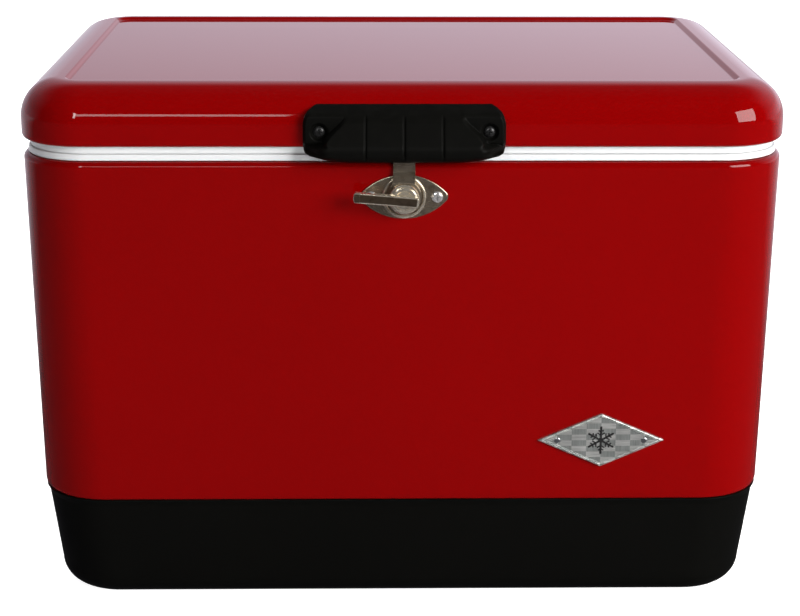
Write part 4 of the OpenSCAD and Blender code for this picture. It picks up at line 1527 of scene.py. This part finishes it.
@dataclass
class Latch:
    """The turn latch: eye plate with a raised ring, disc and lever, strap from the lid."""

    shop: Workshop
    eye_half: tuple[float, float] = (36.0, 17.7)
    eye_end: float = 34.6
    eye_tip: float = 4.5
    plate: float = 1.2
    ring_radius: float = 16.0
    ring_bead: float = 1.4
    lever_tilt: float = 5.0
    strap: float = 17.3
    screw_x: float = 26.0
    bar_face: float = -218.7

    def build(self) -> None:
        """Makes every visible piece of the latch."""
        low, high = span("latch_plate")
        self.face = high.y
        self.centre_z = (low.z + high.z) / 2
        self.base_plate()
        self.screws()
        self.lever()
        self.tongue()
        finishes = self.shop.finishes
        self.shop.dress(finishes.plated, "latch_cam", "latch_keeper")
        self.shop.dress(finishes.zinc, "latch_washer", "latch_clip", "latch_backing_plate", "tongue_rivets")

    def _eye(self, x: float) -> float:
        """Gives the eye's half height at an X, with rounded tips."""
        half_w, half_h = self.eye_half
        bow = (half_w * half_w + half_h * half_h) / (2 * half_h)
        centre = math.sqrt((bow - self.eye_tip) ** 2 - (bow - half_h) ** 2)
        if abs(x) < centre * bow / (bow - self.eye_tip):
            return math.sqrt(bow * bow - x * x) - (bow - half_h)
        return math.sqrt(max(self.eye_tip ** 2 - (abs(x) - centre) ** 2, 0.0))

    def base_plate(self) -> None:
        """Makes the eye plate with its bevelled rim, the raised ring and the sunk land inside it."""
        mesh = bmesh.new()
        bmesh.ops.create_circle(mesh, cap_ends=True, segments=160, radius=1.0)
        for vert in mesh.verts:
            turn = math.atan2(vert.co.y, vert.co.x)
            x = self.eye_end * math.cos(turn)
            off_tip = abs(math.sin(turn)) > 1e-6
            vert.co = Vector((x, math.copysign(self._eye(x), math.sin(turn)) if off_tip else 0, 0))
        raised = bmesh.ops.extrude_face_region(mesh, geom=list(mesh.faces))["geom"]
        moved = only(raised, bmesh.types.BMVert)
        top = only(raised, bmesh.types.BMFace)
        bmesh.ops.translate(mesh, vec=(0, 0, self.plate - 0.45), verts=moved)
        bmesh.ops.inset_region(mesh, faces=top, thickness=0.5, depth=0.4, use_even_offset=True)
        bmesh.ops.inset_region(mesh, faces=top, thickness=0.9, depth=0.05, use_even_offset=True)
        bmesh.ops.recalc_face_normals(mesh, faces=mesh.faces)
        centre, bead = self.ring_radius, self.ring_bead
        arc = [
            (centre + bead * math.cos(math.radians(a)), self.plate + bead * math.sin(math.radians(a)))
            for a in range(-10, 191, 15)
        ]
        foot = self.plate - 0.6
        ring = Shape.turned([(centre + bead, foot), *arc, (centre - bead, foot)], 96, True)
        # The sunk land is joined to the plate and takes its darker nickel: painted shade in the groove inside
        # the ring.
        land = Shape.turned([(4.6, 0.9), (4.6, 1.75), (13.2, 1.75), (13.7, 1.5), (13.7, 0.9)], 72, True)
        mesh = Shape.joined([mesh, land])
        place = (0, self.face, self.centre_z)
        self.shop.piece(
            "latch_ring", Shape.moved(ring, Facing.FRONT, place), self.shop.finishes.polished, Body.CHEST,
            Slot.PLATED, [],
        )
        self.shop.piece(
            "latch_plate", Shape.moved(mesh, Facing.FRONT, place), self.shop.finishes.plated, Body.CHEST,
            Slot.PLATED, ["latch_plate"],
        )

    def screws(self) -> None:
        """Makes the plate's two cross-head screws."""
        mesh = Shape.moved(
            Fasteners.cross(4.6, 2.2, 2.0, 9.0), Facing.FRONT, (0, self.face - self.plate, self.centre_z)
        )
        mesh = Shape.copied(mesh, [(-self.screw_x, 0, 0), (self.screw_x, 0, 0)])
        self.shop.piece(
            "latch_screws", mesh, self.shop.finishes.chrome, Body.CHEST, Slot.PLATED, ["latch_screws"]
        )

    def lever(self) -> None:
        """Makes the turning disc and the thumb bar with its serrated tip."""
        disc = Shape.turned(
            [(3.6, -214.0), (11.2, -214.0), (11.8, -214.3), (12.0, -214.9), (12.0, -215.8), (11.7, -216.3),
             (11.0, -216.5), (10.3, -216.6), (10.2, -217.4), (10.3, -218.6), (10.1, -219.2), (9.5, -219.5),
             (7.6, -219.5), (7.0, -219.0), (3.6, -219.0)],
            72, True,
        )
        bmesh.ops.scale(disc, vec=(1, 1, -1), verts=disc.verts)
        bmesh.ops.recalc_face_normals(disc, faces=disc.faces)
        disc = Shape.moved(disc, Facing.FRONT, (0, 0, self.centre_z))
        outline: list[Point2] = []
        for step in range(9):
            turn = math.radians(-90 + 22.5 * step)
            outline.append((9.6 + 2.0 * math.cos(turn), 4.1 * math.sin(turn)))
        for bump in range(3):
            x = -24.0 - 4.0 * bump
            outline += [(x, 4.1), (x - 0.7, 3.5), (x - 1.5, 3.5), (x - 2.2, 4.1)]
        for step in range(9):
            turn = math.radians(90 + 22.5 * step)
            outline.append((-38.0 + 2.0 * math.cos(turn), 4.1 * math.sin(turn)))
        bar = Shape.extruded(outline, 5.2)
        Shape.soften(bar, 0.7, 3, 25.0)
        # A dark sheet laid on the bar's front face and over its tip: painted dark reflection of the studio in
        # front.
        painted_reflection_face = Shape.joined([
            Shape.block((-35.4, -3.0, 4.6), (9.8, 3.0, 5.6), 0.4, 2),
            Shape.block((-39.0, -3.0, 4.0), (-34.6, 3.0, 7.9), 0.9, 3),
        ])
        tilt = Matrix.Rotation(math.radians(-self.lever_tilt), 3, "Z")
        for part in (bar, painted_reflection_face):
            bmesh.ops.rotate(part, cent=(0, 0, 0), matrix=tilt, verts=part.verts)
            Shape.moved(part, Facing.FRONT, (0, self.bar_face, self.centre_z))
        finishes = self.shop.finishes
        self.shop.piece("latch_disc", disc, finishes.polished, Body.LATCH, Slot.PLATED, ["latch_lever"], 35.0)
        self.shop.piece("latch_bar", bar, finishes.polished, Body.LATCH, Slot.PLATED, [], 35.0)
        self.shop.piece("latch_inlay", painted_reflection_face, finishes.dark_reflection, Body.LATCH, Slot.PLATED, [], 35.0)

    def tongue(self) -> None:
        """Makes the strap: flat on the lid's face, bent out over the ring, straight down behind the disc."""
        outline = [
            (-206.0, 402.0), (-207.5, 402.0), (-207.5, 372.4), (-207.75, 371.2), (-212.1, 364.2),
            (-212.5, 363.0), (-212.5, 356.5), (-211.0, 356.5), (-211.0, 362.6), (-210.7, 363.6),
            (-206.4, 370.6), (-206.0, 371.8),
        ]
        mesh = Shape.extruded(outline, self.strap)
        bmesh.ops.translate(mesh, vec=(0, 0, -self.strap / 2), verts=mesh.verts)
        turn = Matrix(((0, 0, 1, 0), (1, 0, 0, 0), (0, 1, 0, 0), (0, 0, 0, 1)))
        bmesh.ops.transform(mesh, matrix=turn, verts=mesh.verts)
        Shape.soften(mesh, 0.3, 2, 40.0)
        # The strap takes the darker nickel: painted shade for a face that mirrors the dark studio.
        self.shop.piece(
            "latch_strap", mesh, self.shop.finishes.plated, Body.LID, Slot.PLATED, ["latch_tongue"], 35.0
        )


@dataclass
class Badge:
    """The rhombus badge: a stepped frame round a checked field, an ice crystal and two rivets."""

    shop: Workshop
    tip: float = 0.7
    rivet_x: float = 35.5
    arm: float = 12.0

    def build(self) -> None:
        """Makes the plate with its crystal, and the rivets."""
        low, high = span("badge_plate")
        self.centre = (low + high) / 2
        self.half = ((high.x - low.x) / 2, (high.z - low.z) / 2)
        self.face = high.y
        self.plate()
        self.rivets()

    def plate(self) -> None:
        """Makes the plate by insetting its frame step by step, and lays the crystal on its field."""
        mesh = bmesh.new()
        half_x, half_z = self.half[0] + 0.4, self.half[1] + 0.1
        verts = [mesh.verts.new(place) for place in
                 ((half_x, 0, 0), (0, half_z, 0), (-half_x, 0, 0), (0, -half_z, 0))]
        mesh.faces.new(verts)
        bmesh.ops.bevel(
            mesh, geom=verts, offset=self.tip, offset_type="OFFSET", segments=8, profile=0.5,
            affect="VERTICES", material=-1,
        )
        faces = list(mesh.faces)
        raised = bmesh.ops.extrude_face_region(mesh, geom=faces)["geom"]
        moved = only(raised, bmesh.types.BMVert)
        top = only(raised, bmesh.types.BMFace)
        bmesh.ops.translate(mesh, vec=(0, 0, 1.5), verts=moved)
        side = half_x * half_z / math.hypot(half_x, half_z)
        inset = 0.0
        for step, rise in (
            (0.45, 0.65), (0.35, 0.2), (0.25, 0.0), (0.5, -0.75), (0.2, -0.1), (0.5, 0.7), (0.3, 0.0),
            (0.45, -0.75),
        ):
            shrink = (side - inset - step) / (side - inset)
            inset += step
            raised = bmesh.ops.extrude_face_region(mesh, geom=top)["geom"]
            moved = only(raised, bmesh.types.BMVert)
            bmesh.ops.delete(mesh, geom=top, context="FACES_ONLY")
            top = only(raised, bmesh.types.BMFace)
            bmesh.ops.scale(mesh, vec=(shrink, shrink, 1.0), verts=moved)
            bmesh.ops.translate(mesh, vec=(0, 0, rise), verts=moved)
        bmesh.ops.recalc_face_normals(mesh, faces=mesh.faces)
        place = (self.centre.x, self.face, self.centre.z)
        self.shop.piece(
            "badge_crystal", Shape.moved(self.crystal(), Facing.FRONT, place), self.shop.finishes.oxide,
            Body.CHEST, Slot.BADGE, [], 25.0, False,
        )
        mesh = Shape.moved(mesh, Facing.FRONT, place)
        self.shop.piece(
            "badge", mesh, self.shop.finishes.badge, Body.CHEST, Slot.BADGE, ["badge_plate"], 25.0, False
        )

    def crystal(self) -> BMesh:
        """Returns the ice crystal: six arms, each with two pairs of side branches, on a small hub."""
        arms = []
        for turn in range(6):
            arm = [Shape.block((0, -0.8, 1.0), (self.arm, 0.8, 2.15), 0.4, 2)]
            for along, length in ((4.6, 3.6), (7.4, 2.6)):
                for side in (-1, 1):
                    twig = Shape.block((0, -0.55, 1.0), (length, 0.55, 2.0), 0.3, 2)
                    lean = Matrix.Rotation(math.radians(60 * side), 3, "Z")
                    bmesh.ops.rotate(twig, cent=(0, 0, 0), matrix=lean, verts=twig.verts)
                    bmesh.ops.translate(twig, vec=(along, 0, 0), verts=twig.verts)
                    arm.append(twig)
            whole = Shape.joined(arm)
            way = Matrix.Rotation(math.radians(60 * turn + 30), 3, "Z")
            bmesh.ops.rotate(whole, cent=(0, 0, 0), matrix=way, verts=whole.verts)
            arms.append(whole)
        hub = Shape.turned([(0, 1.0), (2.3, 1.0), (2.3, 1.9), (1.9, 2.3), (0, 2.4)], 6)
        return Shape.joined([*arms, hub])

    def rivets(self) -> None:
        """Makes the two dome rivets."""
        mesh = Shape.moved(
            Fasteners.dome(2.5, 1.1, 1.5, 5.0), Facing.FRONT, (self.centre.x, self.face - 1.4, self.centre.z)
        )
        mesh = Shape.copied(mesh, [(-self.rivet_x, 0, 0), (self.rivet_x, 0, 0)])
        self.shop.piece(
            "badge_pins", mesh, self.shop.finishes.zinc, Body.CHEST, Slot.BADGE, ["badge_rivets"]
        )


# ---------------------------------------------------------------- ends and back


@dataclass
class Hinges:
    """The two strap hinges at the back."""

    shop: Workshop
    centre: float = 190.0
    pin: float = 2.5
    screw_reach: float = 20.0
    body_rows: Point2 = (350.0, 366.0)
    lid_row: float = 399.0

    def build(self) -> None:
        """Makes the leaves, pins and screws, and dresses what is hidden."""
        zinc = self.shop.finishes.zinc
        for side in ("left", "right"):
            for leaf, body in (("body", Body.CHEST), ("lid", Body.LID)):
                node = f"hinge_{leaf}_leaf_{side}"
                self.shop.piece(
                    f"{leaf}_leaf_{side}", Shape.from_node(node, 0.3), zinc, body, Slot.ZINC, [node]
                )
            low, high = span(f"hinge_pin_{side}")
            middle = (low + high) / 2
            half = (high.x - low.x) / 2
            profile = [
                (0, -half), (3.2, -half), (3.9, -half + 0.7), (3.9, -half + 2.4), (self.pin, -half + 2.5)
            ]
            mesh = Shape.turned(profile + [(r, -z) for r, z in profile[::-1]], 32)
            self.shop.piece(
                f"pin_{side}", Shape.moved(mesh, Facing.RIGHT, middle), zinc, Body.CHEST, Slot.ZINC,
                [f"hinge_pin_{side}"],
            )
        self.screws()
        self.shop.dress(zinc, "hinge_body_backing_plates", "hinge_lid_backing_plates")

    def screws(self) -> None:
        """Makes the hinge screws, all with cross recesses."""
        xs = [hinge * self.centre + side * self.screw_reach for hinge in (-1, 1) for side in (-1, 1)]
        seat = span("hinge_body_screws")[1].y - 2.0
        mesh = Shape.moved(Fasteners.cross(4.2, 2.0, 2.0, 10.0), Facing.REAR, (0, seat, 0))
        mesh = Shape.copied(mesh, [(x, 0, z) for x in xs for z in self.body_rows])
        self.shop.piece(
            "body_leaf_screws", mesh, self.shop.finishes.zinc, Body.CHEST, Slot.ZINC,
            ["hinge_body_screws"],
        )
        seat = span("hinge_lid_screws")[1].y - 1.6
        mesh = Shape.moved(Fasteners.cross(3.8, 1.6, 2.0, 9.0), Facing.REAR, (0, seat, self.lid_row))
        mesh = Shape.copied(mesh, [(x, 0, 0) for x in xs])
        self.shop.piece(
            "lid_leaf_screws", mesh, self.shop.finishes.zinc, Body.LID, Slot.ZINC, ["hinge_lid_screws"]
        )


@dataclass
class EndBails:
    """The swinging end handles: brackets, bent rods and ribbed grips."""

    shop: Workshop
    rod: float = 4.0
    arm_y: float = 51.0
    end_y: float = 67.0
    bend: float = 8.0
    drop: float = 50.0
    grip_radius: float = 9.0
    grip_half: float = 42.0
    rib_pitch: float = 5.0
    screw_y: float = 75.0
    screw_rows: Point2 = (304.0, 332.0)

    def build(self) -> None:
        """Makes both handles and dresses their backing plates."""
        finishes = self.shop.finishes
        for side, sign, body in (("right", 1, Body.BAIL_RIGHT), ("left", -1, Body.BAIL_LEFT)):
            low, high = span(f"bail_{side}")
            x = (low.x + high.x) / 2
            z = high.z - self.rod
            for end in ("front", "rear"):
                node = f"handle_bracket_{side}_{end}"
                self.shop.piece(
                    f"bracket_{side}_{end}", Shape.from_node(node, 0.4), finishes.zinc, Body.CHEST, Slot.ZINC,
                    [node],
                )
            self.shop.piece(
                f"rod_{side}", self.rod_mesh(x, z), finishes.zinc, body, Slot.ZINC, [f"bail_{side}"], 50.0
            )
            mesh = Shape.moved(self.grip_mesh(), Facing.REAR, (x, 0, z - self.drop))
            self.shop.piece(
                f"sleeve_{side}", mesh, finishes.rubber, body, Slot.RUBBER, [f"grip_{side}"], 50.0, False
            )
        self.screws()
        self.shop.dress(finishes.zinc, "handle_backing_plates")

    def rod_mesh(self, x: float, z: float) -> BMesh:
        """Sweeps the rod: pivot end, arm, bend, bar, and the same again.

        Args:
            x: the pivot's X.
            z: the pivot's height.

        Returns:
            The mesh.
        """
        mesh = bmesh.new()
        bmesh.ops.create_circle(mesh, cap_ends=True, segments=28, radius=self.rod)
        end_y = self.end_y
        bmesh.ops.transform(
            mesh, matrix=Matrix.Translation((x, -end_y, z)) @ Facing.REAR.matrix(), verts=mesh.verts
        )
        edges = list(mesh.edges)

        def onward(vector: Sequence[float]) -> None:
            """Runs the open end straight on."""
            nonlocal edges
            grown = bmesh.ops.extrude_edge_only(mesh, edges=edges)["geom"]
            edges = only(grown, bmesh.types.BMEdge)
            moved = only(grown, bmesh.types.BMVert)
            bmesh.ops.translate(mesh, vec=Vector(vector), verts=moved)

        def round_bend(centre: Sequence[float], angle: float, steps: int = 10) -> None:
            """Bends the open end round an axis along X."""
            nonlocal edges
            for _ in range(steps):
                grown = bmesh.ops.extrude_edge_only(mesh, edges=edges)["geom"]
                edges = only(grown, bmesh.types.BMEdge)
                moved = only(grown, bmesh.types.BMVert)
                turn = Matrix.Rotation(math.radians(angle / steps), 3, "X")
                bmesh.ops.rotate(mesh, cent=Vector(centre), matrix=turn, verts=moved)

        tight, lower = self.rod + 0.3, z - self.drop
        onward((0, 0.8, 0))
        onward((0, end_y - self.arm_y - tight - 0.8, 0))
        round_bend((x, -self.arm_y - tight, z - tight), -90.0)
        onward((0, 0, -(self.drop - self.bend - tight)))
        round_bend((x, -self.arm_y + self.bend, lower + self.bend), 90.0)
        onward((0, 2 * (self.arm_y - self.bend), 0))
        round_bend((x, self.arm_y - self.bend, lower + self.bend), 90.0)
        onward((0, 0, self.drop - self.bend - tight))
        round_bend((x, self.arm_y + tight, z - tight), -90.0)
        onward((0, end_y - self.arm_y - tight - 0.8, 0))
        onward((0, 0.8, 0))
        bmesh.ops.contextual_create(mesh, geom=edges)
        bmesh.ops.recalc_face_normals(mesh, faces=mesh.faces)
        return mesh

    def grip_mesh(self) -> BMesh:
        """Returns the ribbed rubber sleeve, along +Z about its middle."""
        half, outer, bore = self.grip_half, self.grip_radius, self.rod + 0.05
        profile = [(bore, -half), (outer - 2.4, -half), (outer - 0.9, -half + 0.7), (outer, -half + 2.0)]
        for rib in range(-7, 8):
            middle = rib * self.rib_pitch
            profile += [
                (outer, middle - 1.5), (outer - 0.25, middle - 1.15), (outer - 0.85, middle - 0.6),
                (outer - 0.95, middle), (outer - 0.85, middle + 0.6), (outer - 0.25, middle + 1.15),
                (outer, middle + 1.5),
            ]
        profile += [(outer, half - 2.0), (outer - 0.9, half - 0.7), (outer - 2.4, half), (bore, half)]
        return Shape.turned(profile, 48, True)

    def screws(self) -> None:
        """Makes the eight bracket screws."""
        seat = span("handle_bracket_screws")[1].x - 2.2
        mesh = Shape.moved(Fasteners.cross(4.2, 2.2, 2.0, 10.0), Facing.RIGHT, (seat, 0, 0))
        ways = (-self.screw_y, self.screw_y)
        mesh = Shape.copied(mesh, [(0, y, z) for y in ways for z in self.screw_rows])
        other = Shape.flipped(mesh.copy(), 0)
        self.shop.piece(
            "bracket_screws", Shape.joined([mesh, other]), self.shop.finishes.zinc, Body.CHEST, Slot.ZINC,
            ["handle_bracket_screws"],
        )


@dataclass
class Drain:
    """The drain at the foot of the right end."""

    shop: Workshop
    bore: float = 7.0
    outer: float = 10.0
    flange: float = 13.5
    cap_radius: float = 13.4
    flutes: int = 16

    def build(self) -> None:
        """Makes the spout, gasket, nut, cap and seal."""
        low, high = span("drain_spout")
        self.y, self.z = axis_of("drain_spout")
        self.spout(low.x, high.x)
        finishes = self.shop.finishes
        self.shop.piece(
            "nut", Shape.from_node("drain_nut", 0.5, 3), finishes.white, Body.CHEST, Slot.WHITE,
            ["drain_nut"],
        )
        self.shop.piece(
            "gasket", Shape.from_node("drain_gasket", 0.3), finishes.rubber, Body.CHEST, Slot.RUBBER,
            ["drain_gasket"],
        )
        self.cap()
        self.shop.dress(finishes.rubber, "drain_seal")

    def spout(self, start: float, end: float) -> None:
        """Makes the spout: an inside flange, a bore and a few turns of raised thread.

        Args:
            start: the X of the flange's face.
            end: the X of its open end.
        """
        bore, outer, flange = self.bore, self.outer, self.flange
        profile = [
            (bore + 1.2, start), (flange - 0.8, start), (flange, start + 0.8), (flange, start + 2.2),
            (outer, start + 2.2), (outer, end - 11.0),
        ]
        for turn in range(4):
            ridge = end - 10.4 + 2.5 * turn
            profile += [
                (outer - 0.35, ridge), (outer, ridge + 0.8), (outer, ridge + 1.2), (outer - 0.35, ridge + 2.0)
            ]
        profile += [(outer - 0.3, end), (bore + 0.5, end), (bore, end - 0.6), (bore, start + 1.0)]
        mesh = Shape.moved(Shape.turned(profile, 56, True), Facing.RIGHT, (0, self.y, self.z))
        self.shop.piece(
            "spout", mesh, self.shop.finishes.white, Body.CHEST, Slot.WHITE, ["drain_spout"]
        )

    def cap(self) -> None:
        """Makes the fluted screw cap with a sunk face and a turning rib across it."""
        low, high = span("drain_cap")
        radius, inner = self.cap_radius, self.outer + 0.35
        profile = [
            (inner, low.x), (radius - 0.5, low.x), (radius, low.x + 0.6), (radius, high.x - 1.6),
            (radius - 0.5, high.x - 0.5), (radius - 1.6, high.x), (radius - 3.0, high.x),
            (radius - 3.6, high.x - 0.9),
            (0.0, high.x - 1.0), (0.0, high.x - 2.4), (inner, high.x - 2.4),
        ]
        mesh = Shape.turned(profile, 96, True)
        cutter = Shape.turned([(0, low.x - 2), (1.3, low.x - 2), (1.3, high.x + 2), (0, high.x + 2)], 20)
        bmesh.ops.translate(cutter, vec=(radius + 0.8, 0, 0), verts=cutter.verts)
        cutters = []
        for flute in range(self.flutes):
            copy = cutter.copy()
            turn = Matrix.Rotation(math.tau * flute / self.flutes, 3, "Z")
            bmesh.ops.rotate(copy, cent=(0, 0, 0), matrix=turn, verts=copy.verts)
            cutters.append(copy)
        cutter.free()
        mesh = Shape.carved(mesh, Shape.joined(cutters))
        rib = Shape.block((-8.6, -1.4, high.x - 1.6), (8.6, 1.4, high.x - 0.1), 0.5, 3)
        mesh = Shape.moved(Shape.joined([mesh, rib]), Facing.RIGHT, (0, self.y, self.z))
        self.shop.piece(
            "cap", mesh, self.shop.finishes.black, Body.DRAIN_CAP, Slot.BLACK, ["drain_cap"]
        )


# ---------------------------------------------------------------- the studio


@dataclass
class Studio:
    """A pale floor, a soft surround, soft lamps and the camera."""

    spot: tuple[float, float, float] = (-0.02742, -1.62527, 0.69895)
    pitch: float = 17.18
    yaw: float = 0.99
    roll: float = 0.19
    lens: float = 83.75
    floor_half: float = 14.0
    lamp_white: tuple[float, float, float] = (1.0, 0.985, 0.97)

    def build(self) -> None:
        """Sets up the floor, the surround, the lamps and the camera."""
        self.floor()
        self.surround()
        self.lamps()
        self.camera()

    def floor(self) -> None:
        """Makes the pale floor, which polished faces see as a dark studio."""
        mesh = bmesh.new()
        bmesh.ops.create_grid(mesh, x_segments=2, y_segments=2, size=self.floor_half)
        data = bpy.data.meshes.new("floor")
        mesh.to_mesh(data)
        mesh.free()
        material = bpy.data.materials.new("pale floor")
        material.use_nodes = True
        sheet = NodeSheet(material.node_tree)
        sheet.tree.nodes.remove(sheet.tree.nodes["Principled BSDF"])
        path = sheet.add("ShaderNodeLightPath").outputs
        pale = sheet.add("ShaderNodeBsdfDiffuse", {"Color": (0.8, 0.8, 0.8, 1.0)})
        glow = sheet.add("ShaderNodeEmission", {"Color": (1, 1, 1, 1), "Strength": 0.9})
        lit = sheet.add("ShaderNodeAddShader", {0: pale.outputs[0], 1: glow.outputs[0]})
        place = sheet.add("ShaderNodeSeparateXYZ", {0: sheet.add("ShaderNodeTexCoord").outputs["Object"]})
        behind = sheet.mapped(place.outputs[1], 0.2, 1.2, 0.08, 0.8)
        dark = sheet.add("ShaderNodeEmission", {"Color": (0.93, 0.9, 1.0, 1.0), "Strength": behind})
        seen = sheet.add(
            "ShaderNodeMixShader", {0: path["Is Camera Ray"], 1: pale.outputs[0], 2: lit.outputs[0]}
        )
        mixed = sheet.add(
            "ShaderNodeMixShader", {0: path["Is Glossy Ray"], 1: seen.outputs[0], 2: dark.outputs[0]}
        )
        sheet.tree.links.new(mixed.outputs[0], sheet.tree.nodes["Material Output"].inputs["Surface"])
        data.materials.append(material)
        thing = bpy.data.objects.new("floor", data)
        bpy.context.scene.collection.objects.link(thing)

    def surround(self) -> None:
        """Lights the surround: bright low behind the chest and above it, dim in front."""
        world = bpy.data.worlds.new("studio")
        bpy.context.scene.world = world
        world.use_nodes = True
        sheet = NodeSheet(world.node_tree)
        way = sheet.add("ShaderNodeSeparateXYZ", {0: sheet.add("ShaderNodeTexCoord").outputs["Generated"]})
        behind = sheet.mapped(way.outputs[1], -0.15, 0.75, 0.0, 1.0)
        above = sheet.math(
            "MULTIPLY", sheet.mapped(way.outputs[2], 0.135, 0.24, 1.0, 0.68),
            sheet.mapped(way.outputs[2], 0.55, 0.8, 1.0, 0.12),
        )
        lean = sheet.mapped(way.outputs[0], -0.35, 0.9, 0.74, 1.7)
        level = sheet.math("MULTIPLY", sheet.math("MULTIPLY", behind, above), lean)
        strength = sheet.math("ADD", sheet.math("MULTIPLY", level, 1.02), 0.03)
        path = sheet.add("ShaderNodeLightPath").outputs
        camera = sheet.add(
            "ShaderNodeMix", {0: path["Is Camera Ray"], 2: strength, 3: 1.0}, data_type="FLOAT"
        )
        background = sheet.tree.nodes["Background"]
        tint = sheet.blended(path["Is Camera Ray"], (0.87, 0.86, 1.0, 1.0), (1.0, 1.0, 1.0, 1.0))
        sheet.tree.links.new(tint, background.inputs["Color"])
        sheet.tree.links.new(camera.outputs[0], background.inputs["Strength"])

    def lamp(
        self, name: str, place: Sequence[float], aim: Sequence[float], size: Point2, power: float,
        mirrored: bool,
    ) -> None:
        """Adds a soft rectangular lamp.

        Args:
            name: its name.
            place: where it stands, in metres.
            aim: the point it faces.
            size: its width and height in metres.
            power: its power in watts.
            mirrored: True lets polished faces mirror it.
        """
        data = bpy.data.lights.new(name, "AREA")
        data.shape, data.size, data.size_y = "RECTANGLE", size[0], size[1]
        data.energy, data.color = power, self.lamp_white
        thing = bpy.data.objects.new(name, data)
        thing.location = place
        thing.rotation_euler = (Vector(aim) - Vector(place)).to_track_quat("-Z", "Y").to_euler()
        thing.visible_glossy = mirrored
        thing.visible_camera = False
        bpy.context.scene.collection.objects.link(thing)

    def lamps(self) -> None:
        """Hangs the lamps: a broad front fill, a top light and small strips that draw the highlights."""
        middle = (0.0, 0.0, 0.25)
        self.lamp("front fill", (2.5, -2.5, 1.6), middle, (2.2, 2.0), 122.0, False)
        self.lamp("key", (1.62, -1.6, 1.05), middle, (1.25, 1.1), 40.0, True)
        self.lamp("left strip", (-0.47, -1.95, 1.2), (-0.2, -0.2, 0.41), (0.6, 0.2), 2.4, True)
        self.lamp("left spot", (-0.76, -1.9, 1.15), (-0.26, -0.2, 0.41), (0.14, 0.5), 3.0, True)
        self.lamp("back fill", (-1.6, 3.0, 1.7), middle, (2.4, 2.0), 70.0, False)
        self.lamp("top light", (0.0, 0.4, 3.2), middle, (2.5, 2.0), 60.0, False)

    def camera(self) -> None:
        """Sets the camera: in front of the chest, above its lid and looking slightly down."""
        data = bpy.data.cameras.new("camera")
        data.sensor_width, data.lens = 36.0, self.lens
        data.clip_start, data.clip_end = 0.05, 100.0
        thing = bpy.data.objects.new("camera", data)
        pitch, yaw, roll = (math.radians(angle) for angle in (self.pitch, self.yaw, self.roll))
        forward = Vector((math.sin(yaw) * math.cos(pitch), math.cos(yaw) * math.cos(pitch), -math.sin(pitch)))
        right = Vector((math.cos(yaw), -math.sin(yaw), 0.0))
        up = right.cross(forward)
        side = right * math.cos(roll) + up * math.sin(roll)
        top = up * math.cos(roll) - right * math.sin(roll)
        turn = Matrix((side, top, -forward)).transposed()
        thing.matrix_world = Matrix.Translation(self.spot) @ turn.to_4x4()
        bpy.context.scene.collection.objects.link(thing)
        bpy.context.scene.camera = thing
        bpy.context.scene.view_settings.view_transform = "Standard"


def main() -> None:
    """Builds the chest and its studio."""
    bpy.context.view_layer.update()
    Studio().build()
    shop = Workshop(Finishes())
    BodyShell(shop).build()
    LidShell(shop).build()
    Pull(shop).build()
    Latch(shop).build()
    Badge(shop).build()
    Hinges(shop).build()
    EndBails(shop).build()
    Drain(shop).build()
    shop.dress(shop.finishes.foam, "foam_walls", "foam_floor", "lid_foam")
    shop.dress(shop.finishes.zinc, "lid_handle_backing_strip")
    bpy.context.view_layer.update()


if __name__ == "__main__":
    main()
